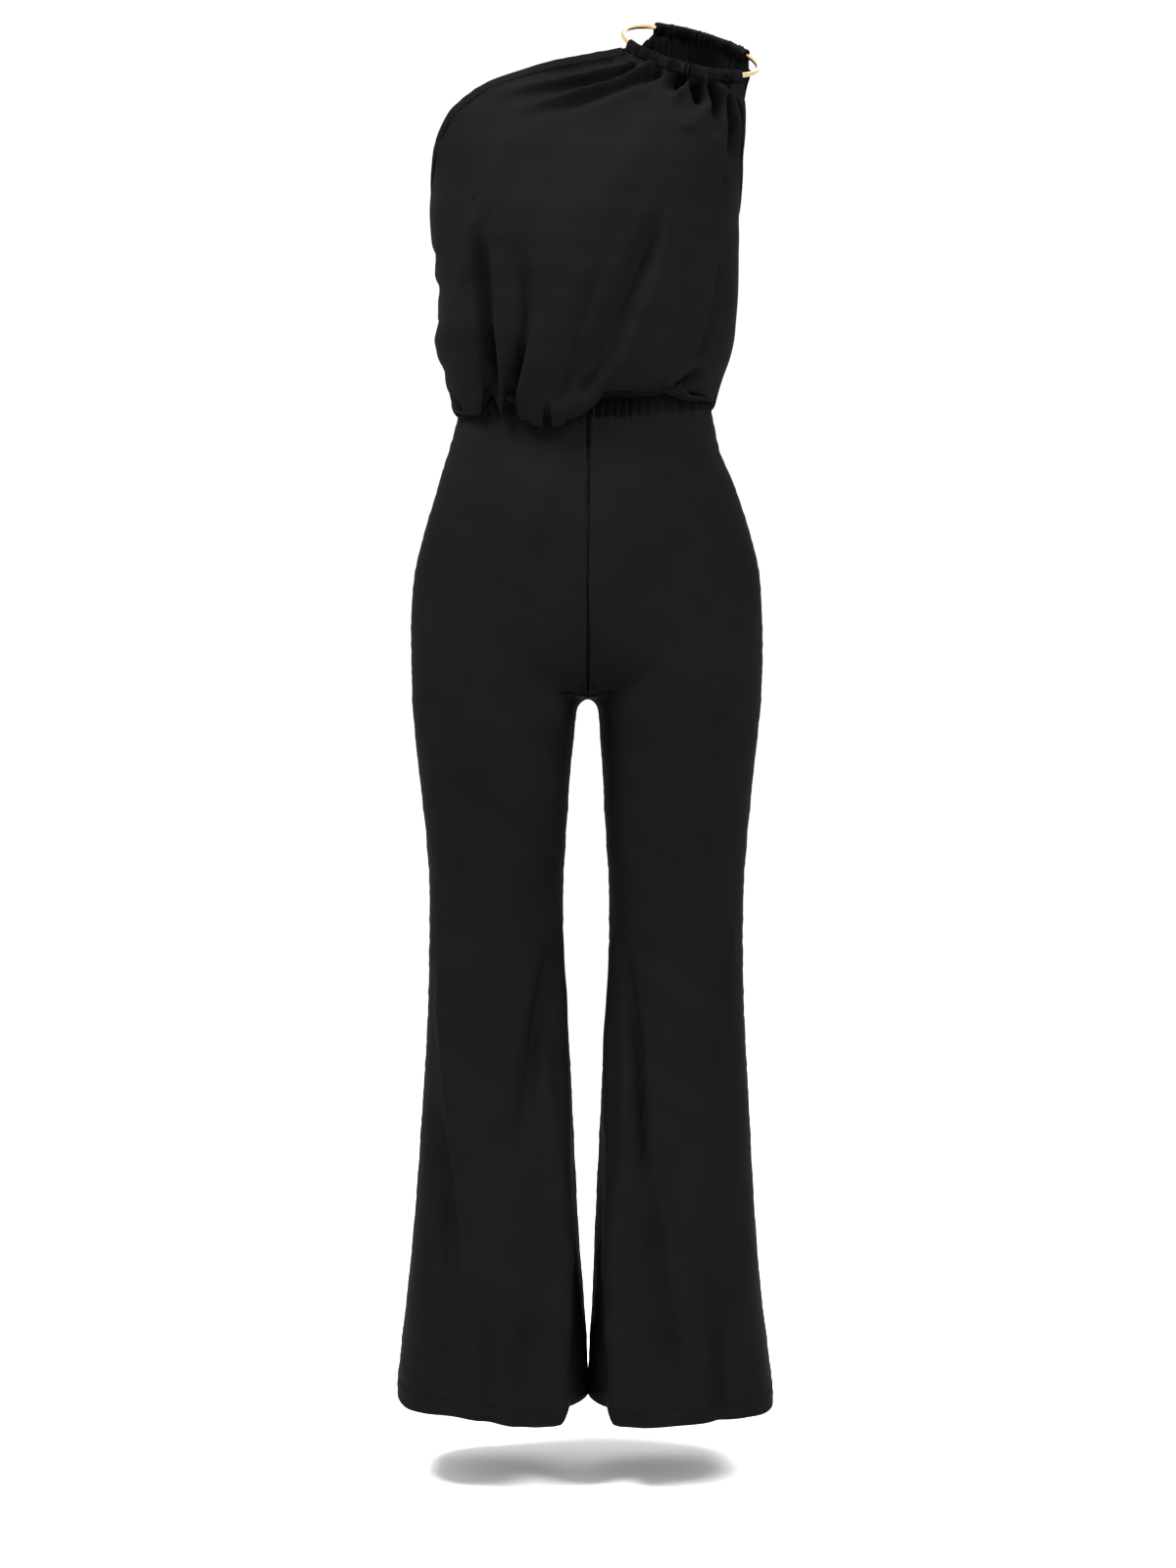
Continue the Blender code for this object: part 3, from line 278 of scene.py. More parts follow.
LEG_FOLDS = {
    "front": table(
        FOLD_COLUMNS,
        # wide flares of the hem
        (-140, 300, -136, 180, -128, 0, 18, 18, 0.5, 0.05, -4),
        (-90, 260, -98, 140, -104, 0, 22, 22, 0.5, 0.05, 4.5),
        (-40, 330, -36, 180, -36, 0, 16, 16, 0.5, 0.05, 4),
        (92, 280, 100, 150, 108, 0, 22, 22, 0.5, 0.05, 4.5),
        (136, 330, 138, 200, 132, 0, 18, 18, 0.5, 0.05, -4),
        (36, 300, 34, 160, 36, 0, 16, 16, 0.5, 0.05, 4),
        # long creases
        (-32, 490, -45, 385, -74, 205, 6, 12, 0.55, 0.45, -12.5),
        (-144, 500, -135, 330, -121, 164, 7.5, 8, 0.3, 0.4, 6.8),
        (-148, 320, -141, 210, -134, 90, 8, 11, 0.3, 0.4, -13),
        (30, 490, 45.5, 355, 54.5, 190, 6, 5.5, 0.55, 0.3, -12),
        (58, 230, 67, 130, 86, 10, 8, 13, 0.3, 0.3, -10.5),
        (36, 370, 39, 270, 40, 150, 7, 8, 0.3, 0.3, 4.5),
        (-41, 350, -36, 260, -35, 150, 8, 8, 0.3, 0.3, 4.5),
        (-102, 130, -97, 60, -96, -10, 8, 9, 0.4, 0.02, -8.5),
        (-58, 110, -60, 60, -61, -10, 8, 9, 0.4, 0.02, -6),
        (122, 130, 126, 60, 128, -10, 8, 9, 0.4, 0.02, -8.5),
        (138, 490, 141, 460, 143, 440, 3, 3, 0.3, 0.3, 2),
        # the turn from each front to the gap between the legs
        (-24.6, 522.5, -23.6, 335, -27, 30, 6, 6, 0.2, 0.1, 4.5),
        (20.8, 490, 20.7, 335, 26, 30, 6, 6, 0.2, 0.1, 4.5),
        (-34, 360, -31, 180, -30, -10, 8, 8, 0.6, 0.02, 9.5),
        (35, 360, 32, 180, 30, -10, 8, 8, 0.6, 0.02, 9.5),
        # drag lines from the crotch over the hips
        (-70, 735, -35, 715, -8, 706, 12, 12, 0.4, 0.15, -5),
        (8, 706, 35, 716, 80, 735, 12, 12, 0.15, 0.4, -5.5),
        (160, 700, 152, 675, 140, 650, 10, 10, 0.3, 0.4, -3),
        (-163, 705, -155, 680, -147, 655, 10, 10, 0.3, 0.4, -3),
        (-90, 900, -98, 850, -112, 800, 12, 16, 0.4, 0.5, -1.6),
        (84, 905, 94, 860, 112, 805, 11, 16, 0.4, 0.5, -1.6),
        (-36, 930, -42, 880, -52, 820, 10, 14, 0.4, 0.5, 1.4),
        (40, 930, 46, 880, 58, 815, 10, 14, 0.4, 0.5, 1.4),
    ),
    "back": table(
        FOLD_COLUMNS,
        (-60, 480, -58, 330, -52, 0, 20, 18, 0.4, 0.05, -4.5),
        (-118, 340, -126, 200, -134, 0, 20, 20, 0.4, 0.05, -4.5),
        (-92, 300, -94, 150, -94, 0, 20, 20, 0.5, 0.05, 4.5),
        (60, 480, 56, 330, 50, 0, 20, 18, 0.4, 0.05, -4.5),
        (116, 360, 124, 200, 130, 0, 20, 20, 0.4, 0.05, -4.5),
        (90, 300, 92, 150, 92, 0, 20, 20, 0.5, 0.05, 4.5),
        (-100, 705, -70, 690, -35, 695, 8, 11, 0.35, 0.35, -3.5),
        (-112, 682, -80, 664, -45, 662, 7, 10, 0.35, 0.35, -2.2),
        (100, 707, 68, 691, 35, 695, 8, 11, 0.35, 0.35, -3.5),
        (114, 684, 80, 667, 44, 661, 7, 10, 0.35, 0.35, -2.2),
        (-46, 470, -50, 400, -60, 300, 6, 10, 0.3, 0.4, -3.5),
        (44, 460, 50, 380, 62, 270, 6, 10, 0.3, 0.4, -3.5),
        (-134, 500, -132, 400, -126, 280, 7, 10, 0.3, 0.4, 2.6),
        (132, 500, 130, 390, 124, 270, 7, 10, 0.3, 0.4, 2.6),
    ),
}
# Short drag folds gathered into the right side seam of the bodice.
SIDE_RUCHES = table(
    "height_mm width_mm rise_mm",
    (1139, 6, -2.8), (1120, 6, 1.2), (1106, 7, -2.6), (1070, 3.5, -4), (1056, 6, 1.2), (1026, 8, -2.5),
    (999, 6, -2),
)
SIDE_RUCHE_REACH = 0.034

# Small relief of the cloth: its height, and the distance over which it dies out.
SEAM_GROOVE, SEAM_GROOVE_WIDTH = 0.0022, 0.0012
SEAM_ROLL, SEAM_ROLL_WIDTH, SEAM_ROLL_AWAY = 0.0008, 0.0020, 0.0040
RIPPLE, RIPPLE_REACH = 0.0030, 0.014                # gathers that run on below a casing
WIDE_RIPPLE, WIDE_RIPPLE_REACH = 0.0010, 0.026
PLEAT, PLEAT_REACH = 0.0009, 0.030                  # soft pleats above the pouch's lower edge
NECK_GATHER, NECK_GATHER_REACH = 0.0004, 0.012
SEAM_PUCKER, SEAM_PUCKER_REACH = 0.0004, 0.006      # along the trouser seams
HEM_STEP, HEM_GROOVE = 0.0004, 0.0004               # the hem's second layer, and its stitch line
LEG_SWAY, BODICE_SWAY = 0.0005, 0.0006              # slow unevenness of a whole panel
WAIST_MIDDLE_RIDGE, CASING_MIDDLE_RIDGE = 0.35, 0.42    # taken off, so that the ridges go in and out

# Studio: each lamp's place from the garment's middle, its width, and its share of the power.
GARMENT_MIDDLE = np.array([-0.1085, -0.0285, -0.68])
LAMPS = (
    ("high_key", (-1.25, -0.85, 2.5), 1.0, 1.85),
    ("high_fill", (1.6, -1.2, 1.8), 1.0, 0.85),
    ("front_fill", (0.3, -2.8, 0.9), 1.5, 0.11),
    ("back_fill", (0.9, 2.2, 2.4), 1.4, 0.12),
)
SKY_STRENGTH = 1.05        # an evenly white room
CAMERA_PLACE = (-0.1085, -3.1285, -0.734)
SENSOR_WIDTH, FOCAL_LENGTH = 36.0, 71.9     # mm, on the camera's longer side
FLOOR_HALF_WIDTH, FLOOR_STATIONS = 9.0, 25
HEM_BELOW_ZERO = 0.002     # the hem's lowest point lies this far below the sewing frame's zero


# ---------------------------------------------------------------- curves and ovals
def smooth(rows, key, name, at):
    """Column `name` at the values `at` of column `key`: a cubic between rows whose slope at
    each row is that of its neighbours."""
    x, y = rows[key], rows[name]
    slope = np.gradient(y, x)
    at = np.clip(np.asarray(at, float), x[0], x[-1])
    i = np.clip(np.searchsorted(x, at, side="right") - 1, 0, len(x) - 2)
    step = x[i + 1] - x[i]
    t = (at - x[i]) / step
    start = y[i] * (1 + 2 * t) + slope[i] * step * t
    end = y[i + 1] * (3 - 2 * t) - slope[i + 1] * step * (1 - t)
    return (1 - t) ** 2 * start + t ** 2 * end


def ease(t):
    """0 to 1 with level ends: three times the square less twice the cube."""
    t = np.clip(t, 0.0, 1.0)
    return t * t * (3 - 2 * t)


def power(value):
    """Signed power that turns a circle's sine or cosine into the oval's."""
    return np.sign(value) * np.abs(value) ** (2 / ROUND)


def oval(angle, right, left, front, back):
    """Point (x, y) of a closed body section at an angle from the wearer's left side: the
    oval's cosine times the half width, its sine times the depth."""
    x = power(np.cos(angle))
    y = power(np.sin(angle))
    return np.stack([x * np.where(x > 0, left, right), -y * np.where(y > 0, front, back)], axis=-1)


def body_oval(rows, angle, height):
    """Section of a table with side_right, side_left, front and back at some heights."""
    sizes = [smooth(rows, "height", name, height) for name in ("side_right", "side_left", "front", "back")]
    return oval(angle, *sizes)


def by_angle(rows, angle):
    """Height read round the body."""
    return smooth(rows, "angle", "height", np.degrees(angle) % 360.0)


def arc_length(points):
    """Distance along a polyline at each of its points: the running sum of its steps."""
    steps = np.linalg.norm(np.diff(points, axis=0), axis=1)
    return np.concatenate([[0.0], np.cumsum(steps)])


def resample(points, count):
    """Points at even distances along a polyline, both ends kept."""
    reach = arc_length(points)
    wanted = np.linspace(0.0, reach[-1], count)
    return np.stack([np.interp(wanted, reach, points[:, i]) for i in range(points.shape[1])], axis=1)


def curve_through(points, per_span=8):
    """Catmull-Rom curve through points: a cubic in each span, with the slope at each point
    half the way between its neighbours."""
    points = np.asarray(points, float)
    ends = np.vstack([2 * points[0] - points[1], points, 2 * points[-1] - points[-2]])
    a, b, c, d = (ends[i:len(ends) - 3 + i, None] for i in range(4))
    t = np.linspace(0, 1, per_span, endpoint=False)[:, None]
    spans = 0.5 * (2 * b + (c - a) * t + (2 * a - 5 * b + 4 * c - d) * t ** 2
                   + (3 * b - 3 * c + d - a) * t ** 3)
    return np.vstack([spans.reshape(-1, points.shape[1]), points[-1:]])


def spaced(knots):
    """Values from the first to the last of (value, spacing) pairs, as far apart as the spacing
    there says: the inverse of the running sum of one over the spacing."""
    knots = np.array(knots)
    fine = np.linspace(knots[0, 0], knots[-1, 0], 6000)
    count = np.concatenate([[0.0], np.cumsum(np.diff(fine) / np.interp(fine[1:], knots[:, 0], knots[:, 1]))])
    steps = int(round(count[-1]))
    return np.interp(np.linspace(0, count[-1], steps + 1), count, fine)


# ---------------------------------------------------------------- folds and gathers
def fold_rise(rows, x, z):
    """Sum of folds at (x, z): each falls off as the bell curve of the distance to its line over
    its half width, and eases in and out along the line."""
    total = np.zeros_like(x)
    for row in rows:
        line = curve_through([(row["x1"], row["z1"]), (row["x2"], row["z2"]), (row["x3"], row["z3"])], 12)
        margin = 3 * max(row["start_width"], row["end_width"])
        low, high = line.min(axis=0) - margin, line.max(axis=0) + margin
        near = (x > low[0]) & (x < high[0]) & (z > low[1]) & (z < high[1])
        at = np.stack([x[near], z[near]], axis=-1)[:, None]
        start, along = line[:-1], np.diff(line, axis=0)
        t = np.clip(((at - start) * along).sum(axis=-1) / (along ** 2).sum(axis=-1), 0, 1)
        away = np.linalg.norm(at - start - t[..., None] * along, axis=-1)
        nearest = away.argmin(axis=1)[:, None]
        gone = (nearest + np.take_along_axis(t, nearest, 1))[:, 0] / len(along)
        away = np.take_along_axis(away, nearest, 1)[:, 0]
        width = row["start_width"] + (row["end_width"] - row["start_width"]) * gone
        taper = ease(gone / row["head"]) * ease((1 - gone) / row["tail"])
        total[near] += row["rise"] * taper * np.exp(-(away / width) ** 2)
    return total


def slow_sines(rng, turns, share):
    """Sum of sines along 0 to 1, one for each number of turns, with seeded heights and phases."""
    height = rng.normal(size=len(turns))[:, None]
    phase = rng.uniform(0, 6.28, len(turns))[:, None]
    return (height * np.sin(2 * math.pi * turns[:, None] * share + phase)).sum(axis=0)


def uneven_wave(share, count, seed, drift=0.35, closed=False, least=0.25):
    """About `count` gathers along 0 to 1, -1 to 1: a cosine whose phase and height wander by a
    few slow sines, so that no two gathers are alike."""
    rng = np.random.default_rng(seed)
    share = np.asarray(share, float)
    turns = np.arange(1, 8) * (1.0 if closed else 0.87)
    shift, swell = (slow_sines(rng, some, share.ravel()) for some in (turns, 2 * turns))
    height = np.clip(0.75 + 0.16 * swell, least, 1.25)
    return (np.cos(2 * math.pi * (count * share.ravel() + drift * shift)) * height).reshape(share.shape)


def narrow_ridges(wave):
    """Gathered cloth stands in narrow ridges with wide gaps: a power of the raised cosine."""
    return np.clip((1 + wave) / 2, 0, None) ** 2.6


def wander(u, v, seed, longest, shortest):
    """Slow uneven surface: eight sines in seeded directions, their wavelengths between the
    two lengths, scaled to a height of about one."""
    rng = np.random.default_rng(seed)
    total = np.zeros_like(u)
    for wave in np.geomspace(longest, shortest, 8):
        way, phase = rng.uniform(0, 2 * math.pi, 2)
        total += np.sin(2 * math.pi / wave * (math.cos(way) * u + math.sin(way) * v) + phase)
    return total / 2.2


def seam_dip(away):
    """A sewn seam sinks in a fine line with a low roll at both sides: two bell curves of the
    distance to it."""
    roll = (away - SEAM_ROLL_AWAY) / SEAM_ROLL_WIDTH
    return -SEAM_GROOVE * np.exp(-(away / SEAM_GROOVE_WIDTH) ** 2) + SEAM_ROLL * np.exp(-roll ** 2)


# ---------------------------------------------------------------- walls
def unit(vectors):
    """Vectors over their lengths."""
    return vectors / np.maximum(np.linalg.norm(vectors, axis=-1, keepdims=True), 1e-12)


def softened(values, reach):
    """Values along a path, each the mean of its neighbours within `reach`, ends held."""
    padded = np.pad(values, ((reach, reach), (0, 0)), mode="edge")
    kernel = np.hanning(2 * reach + 3)[1:-1]
    kernel /= kernel.sum()
    return np.stack([np.convolve(padded[:, i], kernel, mode="valid") for i in range(values.shape[1])], axis=1)


def grid_normals(points, outward):
    """Unit normals of a grid of points, square to its rows and columns, on the side that
    `outward` points to."""
    normal = unit(np.cross(np.gradient(points, axis=1), np.gradient(points, axis=0)))
    flip = np.sign(np.median((normal * outward).sum(axis=-1)))
    return normal * flip


def grid_arcs(points):
    """Distance across and along a grid of points, in metres: running sums of its steps."""
    across = np.linalg.norm(np.diff(points, axis=1), axis=2)
    along = np.linalg.norm(np.diff(points, axis=0), axis=2)
    u = np.pad(np.cumsum(across, axis=1), ((0, 0), (1, 0)))
    v = np.pad(np.cumsum(along, axis=0), ((1, 0), (0, 0)))
    return u - u.mean(axis=1, keepdims=True), v


def tube_faces(rows, columns, closed_rows, closed_columns):
    """Corner numbers of the quads of a grid, and the same numbers on a grid with one more row
    and column, for a pattern that runs on where the surface closes."""
    steps = np.arange(rows - (not closed_rows)), np.arange(columns - (not closed_columns))
    r, c = np.meshgrid(*steps, indexing="ij")
    corners = [(r, c), (r, c + 1), (r + 1, c + 1), (r + 1, c)]
    quads = np.stack([(i % rows) * columns + j % columns for i, j in corners], axis=-1).reshape(-1, 4)
    pattern = np.stack([i * (columns + 1) + j for i, j in corners], axis=-1).reshape(-1, 4)
    return quads, pattern


def volume(points, quads):
    """Volume in a closed mesh of quads: a sixth of the sum of its triangles' triple products."""
    a, b, c, d = (points[quads[:, i]] for i in range(4))
    return ((a * np.cross(b, c)).sum() + (a * np.cross(c, d)).sum()) / 6


def put_mesh(name, points, quads, pattern, material, edge_angle=50.0):
    """One object at the origin from quads and triangles, its faces turned outwards. `pattern`
    holds the place in the knit (m) of every face corner."""
    mesh = bpy.data.meshes.new(name)
    mesh.from_pydata((points - HOLD_POINT).tolist(), [], quads)
    layer = mesh.uv_layers.new(name="knit")
    layer.data.foreach_set("uv", np.asarray(pattern, np.float32).ravel())
    mesh.materials.append(material)
    mesh.shade_smooth()
    mesh.set_sharp_from_angle(angle=math.radians(edge_angle))
    piece = bpy.data.objects.new(name, mesh)
    bpy.context.scene.collection.objects.link(piece)
    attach(piece, "root")
    return piece


def cloth_wall(name, outer, inner, material, ring=False):
    """Closed wall between two grids of points: the outer rows, a rounded rim, the inner rows
    back again and a second rim, with both side edges closed unless the wall is a ring. The
    knit follows the distances across and along the outer grid."""
    rows, columns = outer.shape[:2]
    rims = []
    for edge, before in ((-1, -2), (0, 1)):
        middle = (outer[edge] + inner[edge]) / 2
        onward = unit(outer[edge] - outer[before])
        half = np.linalg.norm(outer[edge] - inner[edge], axis=-1, keepdims=True) / 2
        rims.append((middle + 0.9 * half * onward)[None])
    loop = np.concatenate([outer, rims[0], inner[::-1], rims[1]])
    if ring:
        u, v = grid_arcs(np.concatenate([outer, outer[:, :1]], axis=1))
    else:
        u, v = grid_arcs(outer)
        u, v = (np.pad(value, ((0, 0), (0, 1)), mode="edge") for value in (u, v))
    uv = np.stack([u, v], axis=-1)
    uv = np.concatenate([uv, uv[-1:], uv[::-1], uv[:1], uv[:1]])
    quads, pattern = tube_faces(len(loop), columns, True, ring)
    corners = uv.reshape(-1, 2)[pattern]
    turned = volume(loop.reshape(-1, 3), quads) < 0
    if turned:
        quads, corners = quads[:, ::-1], corners[:, ::-1]
    faces, places = quads.tolist(), [corners.reshape(-1, 2)]
    if not ring:
        number = np.arange(len(loop) * columns).reshape(len(loop), columns)
        for column, flip in ((0, turned), (columns - 1, not turned)):
            bottom, top = number[[-1, rows], column]
            front = np.concatenate([[bottom], number[:rows, column], [top]])
            back = np.concatenate([[bottom], number[2 * rows:rows:-1, column], [top]])
            sides = np.stack([front[:-1], front[1:], back[1:], back[:-1]], axis=-1)
            ends = [[sides[0, 0], sides[0, 1], sides[0, 2]], [sides[-1, 0], sides[-1, 1], sides[-1, 3]]]
            sides = sides[1:-1].tolist()
            for face in (*sides, *ends):
                face = [int(corner) for corner in (face[::-1] if flip else face)]
                faces.append(face)
                places.append(uv[:-1, :columns].reshape(-1, 2)[face])
    return put_mesh(name, loop.reshape(-1, 3), faces, np.concatenate(places), material)


def closed_tube(name, loops, material, ring=False, edge_angle=50.0):
    """Tube from loops of points along a path, its ends closed by a face each unless it is a
    ring. The knit runs along the path and round the loops."""
    count, sides = loops.shape[:2]
    along = np.linalg.norm(np.diff(loops, axis=0), axis=2)
    round_it = np.linalg.norm(np.roll(loops, -1, 1) - loops, axis=2)
    u = np.pad(np.cumsum(along, axis=0), ((1, 1), (0, 1)), mode="edge")
    v = np.pad(np.cumsum(round_it, axis=1), ((0, 1), (1, 0)), mode="edge")
    u[0] = 0.0
    v[:, 0] = 0.0
    quads, pattern = tube_faces(count, sides, ring, True)
    corners = np.stack([u, v], axis=-1).reshape(-1, 2)[pattern]
    turned = volume(loops.reshape(-1, 3), quads) < 0
    if turned:
        quads, corners = quads[:, ::-1], corners[:, ::-1]
    faces, places = quads.tolist(), [corners.reshape(-1, 2)]
    if not ring:
        for end, flip in ((0, turned), (count - 1, not turned)):
            cap = (np.arange(sides)[::-1] if not flip else np.arange(sides)) + end * sides
            faces.append(cap.tolist())
            places.append(np.zeros((sides, 2)))
    return put_mesh(name, loops.reshape(-1, 3), faces, np.concatenate(places), material, edge_angle)


# ---------------------------------------------------------------- trousers
def leg_sizes(side, height):
    """Centre, outer, inner, front and back reach of one leg's oval, and its centre seam share."""
    name = "left" if side > 0 else "right"
    outer = smooth(TROUSERS, "height", "side_" + name, height)
    inner = smooth(TROUSERS, "height", "inner_" + name, height)
    front = smooth(TROUSERS, "height", "front", height)
    back = smooth(TROUSERS, "height", "back", height)
    below = np.clip(CROTCH_HEIGHT - height, 0.0, None)
    above = np.clip(height - CROTCH_HEIGHT, 0.0, None)
    arch = np.sqrt(1 - (1 - np.clip(below / ARCH_RADIUS, 0.0, 1.0)) ** 2)
    together = 1 - ease(above / RISE_BLEND)
    centre = HALF_SEAM + ((outer + inner) / 2 - HALF_SEAM) * together
    inner = HALF_SEAM + (inner - HALF_SEAM) * arch
    share = {part: np.clip(smooth(RISE, "above", part, above), 0.0, FULL_RISE) for part in ("front", "back")}
    return centre, outer, inner, front, back, share


def leg_point(side, part, angle, height):
    """Point of a leg's outer face: an oval about the leg's centre, whose angle runs from the
    side seam (0) to the inseam (pi), and whose inner half reaches the centre line above the
    crotch."""
    centre, outer, inner, front, back, share = leg_sizes(side, height)
    width = (1 - share[part] ** ROUND) ** (1 / ROUND)
    below = CROTCH_HEIGHT - height
    inward = (centre - HALF_SEAM) / np.where(below > 0, 1.0, np.maximum(width, 1e-6))
    parting = np.where(below > 0, inner - HALF_SEAM, 0.0)
    sharpness = 6 - 5 * ease(below / 0.05)         # just below the crotch only the edge parts
    across = power(np.cos(angle))
    x = centre + across * np.where(across > 0, outer - centre, inward)
    x = side * (x + parting * np.clip(-across, 0, None) ** sharpness)
    y = power(np.sin(angle)) * (-front if part == "front" else back)
    return np.stack(np.broadcast_arrays(x, y, height), axis=-1)


def leg_end_angle(part, height):
    """Angle where a panel ends: the inseam below the crotch, the centre seam above."""
    above = np.clip(height - CROTCH_HEIGHT, 0.0, None)
    share = np.clip(smooth(RISE, "above", part, above), 0.0, FULL_RISE)
    return math.pi - np.arcsin(share ** (ROUND / 2))


def leg_rows():
    """Heights of the rows from the waist to the hem, closest at the crotch, waist and hem."""
    above = spaced([(0.0, 0.0005), (0.006, 0.0006), (0.018, 0.0012), (0.048, 0.003), (0.10, 0.0045),
                    (0.228, 0.0045), (0.250, 0.0020), (TROUSER_TOP - CROTCH_HEIGHT, 0.0015)])
    below = spaced([(0.0, 0.0006), (0.012, 0.0015), (0.040, 0.0045), (0.665, 0.0045),
                    (0.681, 0.0013), (CROTCH_HEIGHT, 0.0011)])
    return np.concatenate([CROTCH_HEIGHT + above[:0:-1], CROTCH_HEIGHT - below])


def waist_share(body_angle):
    """Distance round the waist seam as a share of the whole, from the wearer's left side."""
    fine = np.linspace(0, 2 * math.pi, 1200)
    reach = arc_length(body_oval(TROUSERS, fine, by_angle(WAIST, fine)))
    return np.interp(body_angle % (2 * math.pi), fine, reach / reach[-1])


def waist_gathers(share):
    """Narrow uneven ridges of the gathered waist seam, from 0 to about 1."""
    return narrow_ridges(uneven_wave(share, WAIST_GATHERS, 21, drift=0.4, closed=True, least=0.7))


def trouser_panel(side, part, settings):
    """Outer and inner grids of one trouser panel, from its side seam to its centre seam and
    inseam: the leg's oval, moved out or in along its normal by folds, seams, the turned hem
    and the gathers at the waist."""
    heights = leg_rows()
    fine = np.linspace(0, 1, 400) * leg_end_angle(part, heights)[:, None]
    path = leg_point(side, part, fine, heights[:, None])
    steps = np.linalg.norm(np.diff(path, axis=1), axis=2)
    reach = np.pad(np.cumsum(steps, axis=1), ((0, 0), (1, 0)))
    inseam = np.where(heights <= CROTCH_HEIGHT, HALF_SEAM, 0.0)
    wide = reach[:, -1] - inseam - HALF_SEAM
    near = np.exp(-((heights[:, None] - heights) / CROTCH_EASE) ** 2)
    weight = np.gradient(-heights)
    even = near @ (wide * weight) / (near @ weight)
    share = spaced([(0.0, 0.0042), (0.02, 0.0045), (0.045, 0.0150), (0.66, 0.0150), (0.72, 0.0085), (0.86, 0.0085),
                    (0.90, 0.0140), (0.955, 0.0140), (0.98, 0.0045), (1.0, 0.0042)])
    wanted = HALF_SEAM + even[:, None] * share + (wide - even)[:, None] * share ** 4
    angle = np.stack([np.interp(wanted[row], reach[row], fine[row]) for row in range(len(heights))])
    leg = "left" if side > 0 else "right"
    turn = np.degrees(angle) if part == "front" else 360 - np.degrees(angle)
    hem = smooth(HEM, "angle", leg, turn) * ease(1 - heights[:, None] / HEM_FADE)
    body_angle = angle if side > 0 else math.pi - angle
    body_angle = body_angle if part == "front" else -body_angle
    lift = by_angle(WAIST, body_angle) - SEAM - TROUSER_TOP
    waist = lift * ease(1 - (TROUSER_TOP - heights[:, None]) / WAIST_FADE)
    height = heights[:, None] + hem + waist

    points = leg_point(side, part, angle, height)
    step = 1e-4
    round_way = leg_point(side, part, angle + step, height) - leg_point(side, part, angle - step, height)
    up_way = leg_point(side, part, angle, height + step) - leg_point(side, part, angle, height - step)
    normal = unit(np.cross(round_way, up_way))
    normal *= np.sign(np.median(normal[:, 0, 0] * side))

    _, v = grid_arcs(points)
    fade = ease(angle / LEG_SEAM_FADE) * ease((math.pi - angle) / LEG_SEAM_FADE)
    rise = fold_rise(LEG_FOLDS[part], points[..., 0], points[..., 2]) * fade
    from_side, from_middle = wanted, wanted[:, -1:] - wanted
    at_seam = seam_dip(from_side) + seam_dip(from_middle)
    pucker = SEAM_PUCKER * wander(points[..., 2], 0 * points[..., 2], 31, 0.030, 0.008)
    at_seam += pucker * (np.exp(-from_side / SEAM_PUCKER_REACH) + np.exp(-from_middle / SEAM_PUCKER_REACH))
    gathers = (waist_gathers(waist_share(body_angle)) - WAIST_MIDDLE_RIDGE) * settings.gather_depth
    gathers = gathers * (0.8 * np.exp(-v / 0.005) + 0.12 * np.exp(-v / 0.030))
    from_hem = v[-1] - v
    turned = HEM_STEP * ease((HEM_TURNING - from_hem) / 0.0016 + 0.5)
    groove = -HEM_GROOVE * np.exp(-((from_hem - HEM_TURNING + 0.0022) / 0.0011) ** 2)
    seed = (11 if part == "front" else 12) + (0 if side > 0 else 5)
    slow = LEG_SWAY * wander(points[..., 0], points[..., 2], seed, 0.160, 0.035) * fade
    rise = settings.fold_strength * (rise + slow) + at_seam + gathers + turned + groove
    keep = np.where(heights[:, None] > CROTCH_HEIGHT - ARCH_RADIUS, ease(from_middle / 0.012), 1.0)
    normal = unit(normal * np.stack([keep, np.ones_like(keep), np.ones_like(keep)], axis=-1))
    points = points + normal * rise[..., None]
    points[:, 0, 1] = HALF_SEAM * (-1.0 if part == "front" else 1.0)
    return points, points - normal * settings.cloth


# ---------------------------------------------------------------- hoop and casings
def hoop_axes():
    """Two directions of the hoop's plane: outwards, falling by the slope, and backwards, rising
    by the tilt."""
    outwards = np.array([math.cos(HOOP_SLOPE), 0.0, -math.sin(HOOP_SLOPE)])
    backwards = np.array([math.sin(HOOP_SLOPE) * math.sin(HOOP_TILT), math.cos(HOOP_TILT),
                          math.cos(HOOP_SLOPE) * math.sin(HOOP_TILT)])
    return outwards, backwards


def hoop_frame(angle):
    """Wire centre, radial and tangent directions at angles from the hoop's outer end: a circle
    in the hoop's tilted plane."""
    outwards, backwards = hoop_axes()
    cos, sin = np.cos(angle)[..., None], np.sin(angle)[..., None]
    radial = cos * outwards + sin * backwards
    return HOOP_CENTRE + HOOP_RADIUS * radial, radial, cos * backwards - sin * outwards


def hanging(radial, tangent):
    """Direction in which cloth leaves the wire, square to the wire."""
    way = HANG_OUT * radial - np.array([0.0, 0.0, HANG_DOWN])
    return unit(way - (way * tangent).sum(axis=-1, keepdims=True) * tangent)


def hoop_loops(wire, segments=288, sides=24):
    """Torus: a small circle of the wire's radius in the plane of the radius and the hoop's axis."""
    angle = np.linspace(0, 2 * math.pi, segments, endpoint=False)
    around = np.linspace(0, 2 * math.pi, sides, endpoint=False)
    centre, radial, tangent = hoop_frame(angle)
    upright = np.cross(radial, tangent)
    return (centre[:, None] + wire * (np.cos(around)[None, :, None] * radial[:, None]
                                      + np.sin(around)[None, :, None] * upright[:, None]))


def casing_gathers(part, share):
    """Narrow uneven ridges of a casing and of the cloth below it, about level on the whole."""
    wave = uneven_wave(share, CASING[part]["gathers"], CASING[part]["seed"], drift=0.3)
    return narrow_ridges(wave) - CASING_MIDDLE_RIDGE


